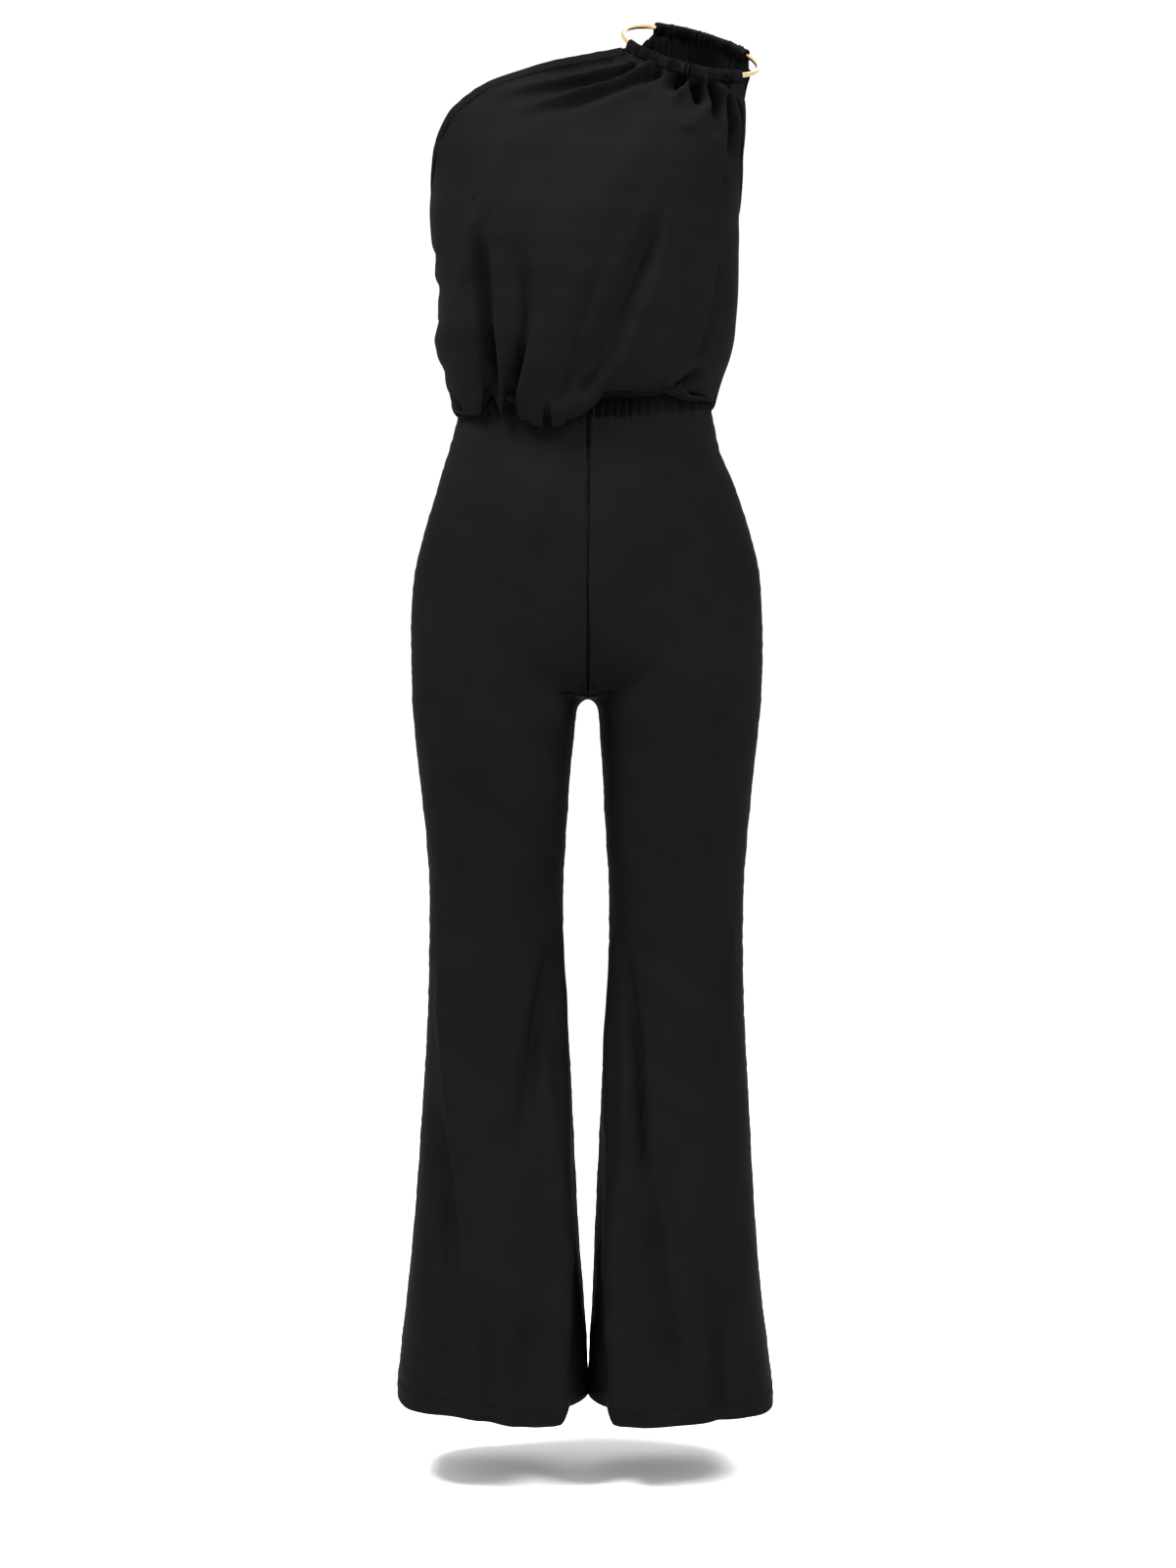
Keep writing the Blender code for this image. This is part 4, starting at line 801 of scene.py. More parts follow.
def casing_walls(part, settings, per_gather=12, sides=40):
    """Outer and inner loops of a gathered tunnel round the wire: a drop-shaped section carried
    along the wire, which swells and sinks with each gather, most at its lower edge."""
    size = CASING[part]
    stations = size["gathers"] * per_gather + 1
    share = np.linspace(0, 1, stations)
    angle = np.radians(size["inner"] + (size["outer"] - size["inner"]) * share)
    centre, radial, tangent = hoop_frame(angle)
    down = hanging(radial, tangent)
    aside = np.cross(down, tangent)
    length = arc_length(centre)
    around = np.linspace(0, 2 * math.pi, sides, endpoint=False)[None, :]
    lower = (1 - np.cos(around)) / 2
    slant = 0.010 * np.sin(around) + CASING_LEAN * lower
    second = uneven_wave(share[:, None] - slant, size["gathers"] * 1.7, size["seed"] + 40, drift=0.4)
    ridge = casing_gathers(part, share[:, None] + slant) + 0.25 * second
    mouth = np.exp(-np.minimum(length, length[-1] - length) / 0.0022)[:, None]
    pucker = settings.gather_depth * (1.15 + 0.50 * lower) * ridge * (1 - 0.6 * mouth)
    walls = []
    for inset in (0.0, settings.cloth * 0.85):
        above = size["above"] + 0.25 * pucker - inset
        below = size["below"] - 0.001 * mouth + 0.5 * pucker - inset
        drop = (below - above) / 2 - (below + above) / 2 * np.cos(around)
        least = settings.wire_radius + settings.cloth * (0.9 - 0.8 * ease((lower - 0.45) / 0.25))
        width = np.maximum(CASING_HALF_WIDTH - CASING_NARROWING * lower + pucker, least) - inset
        sideways = np.sign(np.sin(around)) * np.abs(np.sin(around)) ** CASING_SQUARE * width
        walls.append(centre[:, None] + drop[..., None] * down[:, None] + sideways[..., None] * aside[:, None])
    return walls


def casing_edge(part, count):
    """Line just inside the casing's lower edge, where the bodice is sewn into it."""
    size = CASING[part]
    centre, radial, tangent = hoop_frame(np.radians(np.linspace(size["inner"], size["outer"], count)))
    return centre + (size["below"] - CASING_TUCK) * hanging(radial, tangent)


# ---------------------------------------------------------------- bodice
def edge_points(rows):
    """Points of a table of an edge."""
    return np.stack([rows["across"], rows["depth"], rows["height"]], axis=1)


def column_places(part):
    """Places of a panel's columns, in steps of its top edge from the right underarm: closest
    below the casing. Also the places where the casing starts and ends."""
    neckline, casing, armhole = COLUMNS[part].values()
    start, end = neckline, neckline + casing
    places = np.concatenate([np.linspace(0, start, neckline * FINER + 1)[:-1],
                             np.linspace(start, end, casing * FINEST + 1)[:-1],
                             np.linspace(end, end + armhole, armhole * FINER + 1)])
    return places, start, end


def top_edge(part):
    """Top edge of one bodice panel, with eight points for each step: right underarm, hoop, left
    underarm."""
    steps = {name: 8 * number for name, number in COLUMNS[part].items()}
    on_hoop = casing_edge(part, steps["casing"] + 1)
    neck = curve_through(np.vstack([edge_points(NECKLINE[part]), on_hoop[:1]]), 24)
    arm = curve_through(np.vstack([on_hoop[-1:], edge_points(ARMHOLE[part])]), 24)
    return np.vstack([resample(neck, steps["neckline"] + 1)[:-1], on_hoop,
                      resample(arm, steps["armhole"] + 1)[1:]])


def at_places(places, values):
    """Values with eight points for each step, read at the columns' places."""
    fine = np.arange(len(values)) / 8
    if values.ndim == 1:
        return np.interp(places, fine, values)
    return np.stack([np.interp(places, fine, values[:, i]) for i in range(values.shape[1])], axis=-1)


def even_angles(count):
    """Angles that divide the chest section into even widths, right side (pi) to left side (0)."""
    fine = np.linspace(math.pi, 0, 1600)
    reach = arc_length(body_oval(BODICE, fine, np.full_like(fine, CHEST_HEIGHT)))
    return np.interp(np.linspace(0, reach[-1], count), reach, fine)


def pouch_rows(angle, notches):
    """Lower rows: from the elastic up over a small roll, down inside the pouch, round its
    bottom and up to the chest, on a curve through seven keys. Each row is a share of the way
    from the waist section to the bodice section."""
    elastic = by_angle(WAIST, angle) + ELASTIC_WIDTH + SEAM
    low = by_angle(OVERHANG, angle) + notches
    roll = np.maximum(elastic, low) + POUCH_ROLL
    full = low + POUCH_HEIGHT
    keys = [(0.00, elastic), (0.12, roll), (0.25, 0.45 * roll + 0.55 * low), (0.58, low),
            (0.88, low + POUCH_TURN), (1.00, full), (1.00, full + POUCH_HEIGHT)]
    shares = np.repeat(np.array([share for share, _ in keys])[:, None], len(angle), axis=1)
    packed = np.stack([shares, np.stack([height for _, height in keys])], axis=-1)
    finer = curve_through(packed.reshape(len(keys), -1), TURN_ROWS).reshape(-1, len(angle), 2)
    finer = finer[:-TURN_ROWS]         # the last key only sets the direction at full size
    start = finer[-1, :, 1]
    rest = start + (CHEST_HEIGHT - start) * np.linspace(0, 1, STRAIGHT_ROWS + 1)[1:-1, None]
    return np.concatenate([finer, np.stack([np.ones_like(rest), rest], axis=-1)])


def bodice_panel(part, settings):
    """Outer and inner grids of a bodice panel, from the waist elastic to its top edge, and its
    normals: the pouch's turn, then body sections that blend into the top edge, moved along
    their normal by the drawn folds, the ripples of the gathers and the seams."""
    mirror = 1.0 if part == "front" else -1.0
    places, casing_start, casing_end = column_places(part)
    whole_edge = top_edge(part)
    whole_angle = even_angles(len(whole_edge))
    left, right = (smooth(BODICE, "height", name, whole_edge[:, 2]) for name in ("side_left", "side_right"))
    half_width = np.where(whole_edge[:, 0] > 0, left, right)
    reach = np.clip(np.abs(whole_edge[:, 0]) / half_width, 0, 1) ** (ROUND / 2) * np.sign(whole_edge[:, 0])
    end_angle = np.arccos(reach)
    end_angle[0], end_angle[-1] = math.pi, 0.0
    on_section = body_oval(BODICE, mirror * end_angle, whole_edge[:, 2])
    missed = whole_edge - np.concatenate([on_section, whole_edge[:, 2:]], axis=-1)
    from_end = np.minimum(np.arange(len(missed)), np.arange(len(missed))[::-1])[:, None] / 8
    broad = missed + (softened(missed, 32) - missed) * ease(from_end / 4)
    edge, angle, end_angle, broad = (
        at_places(places, values) for values in (whole_edge, whole_angle, end_angle, broad))
    from_end = np.minimum(places, places[-1] - places)
    around = mirror * angle

    notches = np.zeros_like(angle)
    if part == "front":
        across = body_oval(BODICE, around, np.full_like(around, 0.975))[:, 0]
        for row in POUCH_NOTCHES:
            notches += row["rise"] * np.exp(-((across - row["across"]) / row["width"]) ** 2)
    lower = pouch_rows(around, notches)
    elastic_height = by_angle(WAIST, around) + ELASTIC_WIDTH
    waist = body_oval(TROUSERS, around, elastic_height)
    full = body_oval(BODICE, around[None, :], lower[..., 1])
    share = lower[..., :1]
    below = np.concatenate([waist * (1 - share) + full * share, lower[..., 1:]], axis=-1)

    fall = edge[:, 2] - CHEST_HEIGHT
    at_binding = 1 - BINDING_WIDTH / fall
    upwards = 1 - (1 - np.linspace(0, 1, UPPER_ROWS)[:, None]) ** 1.35      # closer towards the top
    rows = np.vstack([upwards * at_binding,
                      at_binding + (1 - at_binding) * np.array([0.34, 0.67, 1.0])[:, None]])
    height = CHEST_HEIGHT + rows * fall
    follow = ease(rows)
    turned = angle + (end_angle - angle) * follow
    upper = np.concatenate([body_oval(BODICE, mirror * turned, height), height[..., None]], axis=-1)
    missed = edge - upper[-1]
    upper = upper + broad * follow[..., None] + (missed - broad) * ease(rows * 5 - 4)[..., None]

    points = np.concatenate([below, upper])
    outward = points * np.array([1.0, 1.0, 0.0])
    normal = grid_normals(points, outward)
    row = np.arange(len(points))[:, None]
    outside = ease((row - 2.2 * TURN_ROWS) / (0.8 * TURN_ROWS))

    folds = fold_rise(BODICE_FOLDS[part], points[..., 0], points[..., 2]) * ease(from_end / 3.0)
    near_side = ease(1 - np.abs(points[..., 1]) / SIDE_RUCHE_REACH) * (points[..., 0] < 0)
    ruches = sum(ruche["rise"] * np.exp(-((points[..., 2] - ruche["height"]) / ruche["width"]) ** 2)
                 for ruche in SIDE_RUCHES)
    seed = 3 if part == "front" else 4
    slow = BODICE_SWAY * wander(points[..., 0], points[..., 2], seed, 0.140, 0.030) * ease(from_end / 3.0)

    # ripples below the casing, where the cloth is gathered onto the wire: those of the casing
    # run on into the cloth, strongest towards the outer end of the hoop
    on_casing = (places - casing_start) / (casing_end - casing_start)
    inside = ease(on_casing * 12 + 0.3) * ease((1 - on_casing) * 12 + 0.3)
    outer_half = 0.35 + 0.65 * ease(on_casing * 3.0 - 1.0)
    from_top = np.linalg.norm(points - edge, axis=-1)
    fine_ripple = casing_gathers(part, on_casing + CASING_LEAN)
    wide_ripple = uneven_wave(on_casing, 9, seed + 70, drift=0.25)
    inside = inside * (0.3 + 0.7 * ease(from_top / (1.6 * CASING_TUCK)))
    ripples = inside * (RIPPLE * outer_half * fine_ripple * np.exp(-from_top / RIPPLE_REACH)
                        + WIDE_RIPPLE * wide_ripple * np.exp(-from_top / WIDE_RIPPLE_REACH))

    # gathers that rise from the waist elastic, inside the pouch and a little way up its outside
    strength = np.where(row < 3 * TURN_ROWS, 1 - ease(row / (2.4 * TURN_ROWS)), 0.0)
    gathers = settings.gather_depth * 0.9 * (waist_gathers(waist_share(around)) - WAIST_MIDDLE_RIDGE) * strength
    soft_wave = uneven_wave(waist_share(around), 34, 22, drift=0.4, closed=True)
    from_low = np.clip(points[..., 2] - by_angle(OVERHANG, around), 0, None)
    pleats = PLEAT * soft_wave * np.exp(-from_low / PLEAT_REACH) * outside * ease(from_end)

    # fine gathers along the bound neckline
    on_neck = ease(casing_start - places) * ease(places)
    neck_wave = uneven_wave(places / casing_start, 34, seed + 80)
    neck = NECK_GATHER * neck_wave * np.exp(-from_top / NECK_GATHER_REACH) * on_neck

    rise = settings.fold_strength * (folds + ruches * near_side + slow + pleats) * outside
    u, _ = grid_arcs(points)
    sides = seam_dip(u - u[:, :1]) + seam_dip(u[:, -1:] - u)
    rise = rise + ripples + gathers + neck + sides * outside
    points = points + normal * rise[..., None]
    points[:, [0, -1], 1] = -mirror * HALF_SEAM
    normal[:, [0, -1], 1] = 0.0
    normal = unit(normal)
    return points, points - normal * settings.cloth, normal


def both_bodice_panels(settings):
    """Grids and normals of the front and the back panel."""
    return {part: bodice_panel(part, settings) for part in ("front", "back")}


def bound_edge(panels, name):
    """Edge line, direction down the cloth and normal along a bound edge, from the hoop under
    the arm to the hoop; both directions are softened where front and back meet."""
    ahead, behind = [], []
    for part, columns in (("front", ahead), ("back", behind)):
        places, start, end = column_places(part)
        wanted = places < start if name == "neckline" else places > end
        columns.extend(np.flatnonzero(wanted).tolist())
    if name == "neckline":
        ahead = ahead[::-1]
    else:
        behind = behind[::-1]

    def round_the_arm(grid, row):
        """One row of both panels, joined at the shared point by its mean."""
        front, back = panels["front"][grid][row, ahead], panels["back"][grid][row, behind]
        return np.vstack([front[:-1], (front[-1] + back[0])[None] / 2, back[1:]])

    line, below, normal = round_the_arm(0, -1), round_the_arm(0, -4), round_the_arm(2, -1)
    edge = softened(line, 3)
    down = unit(softened(unit(below - line), 9))
    along = unit(np.gradient(edge, axis=0))
    normal = unit(softened(normal, 9))
    down = unit(down - (down * along).sum(axis=1, keepdims=True) * along)
    normal = unit(normal - (normal * down).sum(axis=1, keepdims=True) * down)
    return edge, down, normal


def binding_loops(panels, name, settings):
    """Folded strip over a cloth edge: a U-shaped section with soft legs, carried along the
    edge; its outer leg swells between the fold and the stitch line."""
    edge, down, normal = bound_edge(panels, name)
    width, strip, gap, cloth = settings.binding_width, 0.0007, 0.0001, settings.cloth
    turn = np.linspace(0, math.pi, 9)[1:-1]
    leg = np.linspace(1, 0, 7)
    middle, outer, inner = -cloth / 2, cloth / 2 + gap + strip, cloth / 2 + gap
    swell = 0.0002 * np.sin(math.pi * leg)
    section = np.concatenate([
        np.stack([middle + outer + swell, width * leg], axis=1),
        np.stack([middle + outer * np.cos(turn), -outer * np.sin(turn)], axis=1),
        np.stack([np.full(7, middle - outer) - swell, width * leg[::-1]], axis=1),
        [[middle - (outer + inner) / 2, width + 0.0004]],
        np.stack([np.full(3, middle - inner), width * np.array([1.0, 0.5, 0.0])], axis=1),
        np.stack([middle - inner * np.cos(turn[1::2]), -inner * np.sin(turn[1::2])], axis=1),
        np.stack([np.full(3, middle + inner), width * np.array([0.0, 0.5, 1.0])], axis=1),
        [[middle + (outer + inner) / 2, width + 0.0004]],
    ])
    share = np.linspace(0, 1, len(edge))
    pucker = 1 + 0.12 * uneven_wave(share, 60 if name == "neckline" else 34, 91)[:, None]
    sway = 0.0003 * uneven_wave(share, 25 if name == "neckline" else 14, 92)[:, None]
    return (edge[:, None] + (section[None, :, 0] * pucker)[..., None] * normal[:, None]
            + (section[None, :, 1] + sway)[..., None] * down[:, None])


# ---------------------------------------------------------------- waist elastic
def elastic_walls(settings, per_gather=11, rows=14):
    """Gathered ring between bodice and trousers: the waist section pushed out in narrow uneven
    ridges that bulge at mid height and lean a little."""
    stations = WAIST_GATHERS * per_gather
    fine = np.linspace(0, 2 * math.pi, 2400)
    reach = arc_length(body_oval(TROUSERS, fine, by_angle(WAIST, fine)))
    angle = np.interp(np.linspace(0, reach[-1], stations, endpoint=False), reach, fine)
    up = np.linspace(0, 1, rows)[:, None]
    height = by_angle(WAIST, angle) + ELASTIC_WIDTH * up
    step = 1e-3
    points = body_oval(TROUSERS, angle, height)
    along = body_oval(TROUSERS, angle + step, height) - body_oval(TROUSERS, angle - step, height)
    normal = unit(np.stack([-along[..., 1], along[..., 0]], axis=-1))
    normal *= np.sign(np.median((normal * points).sum(axis=-1)))
    share = waist_share(angle)
    lean = 0.0016 * np.sin(2 * math.pi * 5 * share + 1.0) * (up - 0.5)
    bulge = 0.75 + 0.75 * np.sin(math.pi * up)
    rise = settings.gather_depth * (2.4 * waist_gathers((share + lean) % 1.0) * bulge - 0.60)
    outer = np.concatenate([points + normal * rise[..., None], height[..., None]], axis=-1)
    inner = np.concatenate([points + normal * (rise - settings.cloth)[..., None], height[..., None]], axis=-1)
    return outer, inner


# ---------------------------------------------------------------- stitches
def stitch_line(line, normal, settings, lift=0.0002):
    """Stitches along a line at the stitch pitch: short spindles of ten points, each laid from
    its start to its end and bowed off the cloth by its thickness."""
    reach = arc_length(line)
    count = max(int(reach[-1] / settings.stitch_pitch), 1)
    start = (np.arange(count) + 0.5) * reach[-1] / count - settings.stitch_length / 2
    ends = np.stack([start, start + settings.stitch_length], axis=1).clip(0, reach[-1])
    at = np.stack([np.interp(ends, reach, line[:, i]) for i in range(3)], axis=-1)
    facing = unit(np.stack([np.interp(ends.mean(axis=1), reach, normal[:, i]) for i in range(3)], axis=-1))
    along = at[:, 1] - at[:, 0]
    aside = unit(np.cross(facing, along))
    radius = settings.thread / 2
    ring = np.array([[1, 0], [0, 1], [-1, 0], [0, -1]])
    rows = [at[:, None, 0]]
    for share, size in ((0.25, radius), (0.75, radius)):
        middle = at[:, 0] + share * along + lift * facing
        spread = ring[None, :, :1] * aside[:, None] + ring[None, :, 1:] * facing[:, None]
        rows.append(middle[:, None] + size * spread)
    rows.append(at[:, None, 1])
    return np.concatenate(rows, axis=1)


def hem_line(outer, inner, height):
    """Line at one distance above the hem's edge, read between the rows of a panel's outer grid,
    and the cloth's normals along it."""
    _, down = grid_arcs(outer)
    rows = np.arange(len(down))
    row = np.array([np.interp(at, down[:, i], rows) for i, at in enumerate(down[-1] - height)])
    low = np.clip(row.astype(int), 0, len(down) - 2)
    part_way = (row - low)[:, None]
    column = np.arange(down.shape[1])
    line = outer[low, column] * (1 - part_way) + outer[low + 1, column] * part_way
    return line, unit(outer - inner)[low, column]


def put_stitches(name, groups, material):
    """One mesh from groups of spindles: four triangles at each tip and four quads between."""
    points = np.concatenate(groups)
    i = np.arange(4)
    j = (i + 1) % 4
    tips = np.concatenate([np.stack([0 * i, 1 + j, 1 + i], axis=1),
                           np.stack([0 * i + 9, 5 + i, 5 + j], axis=1)])
    sides = np.stack([1 + i, 1 + j, 5 + j, 5 + i], axis=1)
    first = 10 * np.arange(len(points))[:, None, None]
    faces = (sides + first).reshape(-1, 4), (tips + first).reshape(-1, 3)
    if volume(points.reshape(-1, 3), faces[0]) < 0:
        faces = tuple(group[:, ::-1] for group in faces)
    corners = sum(group.size for group in faces)
    return put_mesh(name, points.reshape(-1, 3), faces[0].tolist() + faces[1].tolist(),
                    np.zeros((corners, 2)), material, 180.0)


# ---------------------------------------------------------------- materials
def to_linear(colour):
    """sRGB hex to linear red, green and blue."""
    values = np.array([int(colour[i:i + 2], 16) for i in (1, 3, 5)]) / 255
    return tuple(np.where(values <= 0.04045, values / 12.92, ((values + 0.055) / 1.055) ** 2.4).tolist())


def shaded(colour, share):
    """A colour times a share, with full opacity."""
    return (*[share * value for value in colour], 1.0)


def node(tree, kind, links=None, inputs=None, **properties):
    """Adds a node, sets its properties and unlinked inputs, and links {input: output}."""
    made = tree.nodes.new(kind)
    for key, value in properties.items():
        setattr(made, key, value)
    for key, value in (inputs or {}).items():
        made.inputs[key].default_value = value
    for key, output in (links or {}).items():
        tree.links.new(output, made.inputs[key])
    return made


def new_material(name, colour, roughness, metallic=0.0):
    """A material of one colour, its node tree and its shader."""
    made = bpy.data.materials.new(name)
    made.use_nodes = True
    made.diffuse_color = (*colour, 1.0)
    shader = made.node_tree.nodes["Principled BSDF"]
    shader.inputs["Base Color"].default_value = (*colour, 1.0)
    shader.inputs["Roughness"].default_value = roughness
    shader.inputs["Metallic"].default_value = metallic
    return made, made.node_tree, shader


def jersey(name, colour, settings):
    """Black cotton jersey with elastane, weft-knitted in plain stitch and piece-dyed: matt, with
    a dry bloom of short fibres at the turns and a fine grain of stitches. The real stitches are
    about 0.8 mm wide; they are drawn coarser, as the real ones wouldn't show."""
    made, tree, shader = new_material(name, colour, 0.56)
    shader.inputs["Specular IOR Level"].default_value = 0.003
    shader.inputs["Sheen Weight"].default_value = 0.0
    place = node(tree, "ShaderNodeTexCoord")
    on_object = {"Vector": place.outputs["Object"]}
    split = node(tree, "ShaderNodeSeparateXYZ", {0: place.outputs["UV"]})
    waves = []
    for axis, size in (("X", settings.wale), ("Y", settings.course)):
        turn = node(tree, "ShaderNodeMath", {0: split.outputs[axis]}, {1: 2 * math.pi / size},
                    operation="MULTIPLY")
        waves.append(node(tree, "ShaderNodeMath", {0: turn.outputs[0]}, operation="SINE"))
    loops = node(tree, "ShaderNodeMath", {0: waves[0].outputs[0], 1: waves[1].outputs[0]}, operation="MULTIPLY")
    fuzz = node(tree, "ShaderNodeTexNoise", on_object, {"Scale": 900.0, "Detail": 2.0})
    height = node(tree, "ShaderNodeMath", {0: loops.outputs[0], 2: fuzz.outputs["Fac"]}, {1: 0.6},
                  operation="MULTIPLY_ADD")
    bump = node(tree, "ShaderNodeBump", {"Height": height.outputs[0]}, {"Strength": 0.35, "Distance": 0.0003})
    tree.links.new(bump.outputs["Normal"], shader.inputs["Normal"])
    wear = node(tree, "ShaderNodeTexNoise", on_object, {"Scale": 14.0, "Detail": 4.0})
    tone = node(tree, "ShaderNodeMix", {"Factor": wear.outputs["Fac"]},
                {"A": shaded(colour, 0.80), "B": shaded(colour, 1.25)}, data_type="RGBA")
    tree.links.new(tone.outputs["Result"], shader.inputs["Base Color"])
    gloss = node(tree, "ShaderNodeMapRange", {"Value": wear.outputs["Fac"]}, {"To Min": 0.50, "To Max": 0.62})
    tree.links.new(gloss.outputs["Result"], shader.inputs["Roughness"])
    return made


def spun_thread(name, colour):
    """Black spun polyester sewing thread, twisted from two plies: a little glossier than the
    jersey, so that a row of stitches reads as a fine broken line."""
    made, tree, shader = new_material(name, colour, 0.6)
    shader.inputs["Specular IOR Level"].default_value = 0.04
    place = node(tree, "ShaderNodeTexCoord")
    on_object = {"Vector": place.outputs["Object"]}
    twist = node(tree, "ShaderNodeTexWave", on_object, {"Scale": 700.0, "Distortion": 1.5})
    bump = node(tree, "ShaderNodeBump", {"Height": twist.outputs["Fac"]}, {"Strength": 0.4, "Distance": 0.0002})
    tree.links.new(bump.outputs["Normal"], shader.inputs["Normal"])
    return made


def plated_wire(name, colour):
    """Steel wire, drawn, bent to a ring and plated pale gold: a clean mirror with fine drawing
    lines and a slightly uneven plating that softens some of its glints."""
    made, tree, shader = new_material(name, colour, 0.2, 1.0)
    place = node(tree, "ShaderNodeTexCoord")
    on_object = {"Vector": place.outputs["Object"]}
    patches = node(tree, "ShaderNodeTexNoise", on_object, {"Scale": 60.0, "Detail": 3.0})
    gloss = node(tree, "ShaderNodeMapRange", {"Value": patches.outputs["Fac"]},
                 {"To Min": 0.14, "To Max": 0.30})
    tree.links.new(gloss.outputs["Result"], shader.inputs["Roughness"])
    tone = node(tree, "ShaderNodeMix", {"Factor": patches.outputs["Fac"]},
                {"A": shaded(colour, 0.90), "B": shaded(colour, 1.0)}, data_type="RGBA")
    tree.links.new(tone.outputs["Result"], shader.inputs["Base Color"])
    lines = node(tree, "ShaderNodeTexNoise", {"Vector": place.outputs["UV"]}, {"Scale": 2200.0, "Detail": 1.0})
    bump = node(tree, "ShaderNodeBump", {"Height": lines.outputs["Fac"]},
                {"Strength": 0.05, "Distance": 0.0001})
    tree.links.new(bump.outputs["Normal"], shader.inputs["Normal"])
    return made


def studio_paper(name, colour):
    """Matt white seamless paper with a barely uneven surface."""
    made, tree, shader = new_material(name, colour, 0.9)
    shader.inputs["Specular IOR Level"].default_value = 0.2
    place = node(tree, "ShaderNodeTexCoord")
    on_object = {"Vector": place.outputs["Object"]}
    grain = node(tree, "ShaderNodeTexNoise", on_object, {"Scale": 30.0, "Detail": 4.0})
    bump = node(tree, "ShaderNodeBump", {"Height": grain.outputs["Fac"]}, {"Strength": 0.04, "Distance": 0.001})
    tree.links.new(bump.outputs["Normal"], shader.inputs["Normal"])
    return made


def shared_material(name, make, *values):
    """The material of that name, made once."""
    return bpy.data.materials.get(name) or make(name, *values)


def knit_material(settings):
    """The jersey in the panel's colour and stitch size."""
    return shared_material("black_cotton_elastane_jersey", jersey, tuple(settings.knit_colour), settings)


def thread_material(settings):
    """The thread in the panel's colour."""
    return shared_material("black_spun_polyester_thread", spun_thread, tuple(settings.thread_colour))


# ---------------------------------------------------------------- settings
class JumpsuitSettings(bpy.types.PropertyGroup):
    knit_colour: bpy.props.FloatVectorProperty(
        name="Jersey", description="Colour of the black jersey", subtype="COLOR", size=3, min=0.0, max=1.0,
        default=to_linear("#0E0E0F"))
    thread_colour: bpy.props.FloatVectorProperty(
        name="Thread", description="Colour of the sewing thread", subtype="COLOR", size=3, min=0.0, max=1.0,
        default=to_linear("#0F0F10"))
    wire_colour: bpy.props.FloatVectorProperty(
        name="Wire", description="Colour of the plated hoop", subtype="COLOR", size=3, min=0.0, max=1.0,
        default=to_linear("#E0C08A"))
    floor_colour: bpy.props.FloatVectorProperty(
        name="Floor", description="Colour of the studio paper", subtype="COLOR", size=3, min=0.0, max=1.0,
        default=to_linear("#F7F7F7"))
    cloth: bpy.props.FloatProperty(
        name="Cloth", description="Thickness of the jersey wall", unit="LENGTH",
        min=0.0004, max=0.003, default=0.0013)
    fold_strength: bpy.props.FloatProperty(
        name="Folds", description="Depth of the folds, 1 as worn", subtype="FACTOR",
        min=0.0, max=1.5, default=1.0)
    gather_depth: bpy.props.FloatProperty(
        name="Gathers", description="Depth of the gathers at the waist and on the hoop", unit="LENGTH",
        min=0.0, max=0.004, default=0.0022)
    binding_width: bpy.props.FloatProperty(
        name="Binding", description="Width of the bindings", unit="LENGTH",
        min=0.003, max=0.012, default=0.0070)
    wire_radius: bpy.props.FloatProperty(
        name="Wire radius", description="Radius of the hoop's wire", unit="LENGTH",
        min=0.001, max=0.004, default=0.0022)
    wale: bpy.props.FloatProperty(
        name="Wale", description="Width of one drawn knit stitch", unit="LENGTH",
        min=0.0005, max=0.005, default=0.0016)
    course: bpy.props.FloatProperty(
        name="Course", description="Height of one drawn knit stitch", unit="LENGTH",
        min=0.0005, max=0.005, default=0.0012)
    stitch_pitch: bpy.props.FloatProperty(
        name="Stitch pitch", description="Distance from one sewing stitch to the next", unit="LENGTH",
        min=0.0015, max=0.008, default=0.0032)
    stitch_length: bpy.props.FloatProperty(
        name="Stitch", description="Length of one sewing stitch", unit="LENGTH",
        min=0.001, max=0.006, default=0.0024)
    thread: bpy.props.FloatProperty(
        name="Thread", description="Thickness of the thread as drawn", unit="LENGTH",
        min=0.0002, max=0.001, default=0.0005)
    floor_drop: bpy.props.FloatProperty(
        name="Floor drop", description="Distance from the hem to the floor", unit="LENGTH",
        min=0.0, max=0.2, default=0.060)
    light_power: bpy.props.FloatProperty(
        name="Light", description="Strength of the studio lights", unit="POWER",
        min=0.0, max=1000.0, default=104.0)


# ---------------------------------------------------------------- operators
class JUMPSUIT_OT_bodice(bpy.types.Operator):
    """Bodice front and back, gathered at the hoop and at the waist and bloused over it"""
    bl_idname = "jumpsuit.bodice"
    bl_label = "Bodice"
    bl_options = {"REGISTER", "UNDO"}

    def execute(self, context):
        settings = context.scene.jumpsuit
        for part, flat, area in (("front", (0.62, 0.46), 0.190), ("back", (0.60, 0.46), 0.185)):
            outer, inner, _ = bodice_panel(part, settings)
            piece = cloth_wall(f"{part}_bodice_panel", outer, inner, knit_material(settings))
            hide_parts(f"bodice_{part}")
        return {"FINISHED"}


class JUMPSUIT_OT_casings(bpy.types.Operator):
    """Gathered casings on the front and back arcs of the hoop"""
    bl_idname = "jumpsuit.casings"
    bl_label = "Hoop casings"
    bl_options = {"REGISTER", "UNDO"}

    def execute(self, context):
        settings = context.scene.jumpsuit
        for part, flat in (("front", (0.170, 0.034)), ("back", (0.145, 0.040))):
            outer, inner = casing_walls(part, settings)
            piece = cloth_wall(f"{part}_hoop_casing", outer, inner, knit_material(settings), ring=True)
            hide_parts(f"casing_{part}")
        return {"FINISHED"}


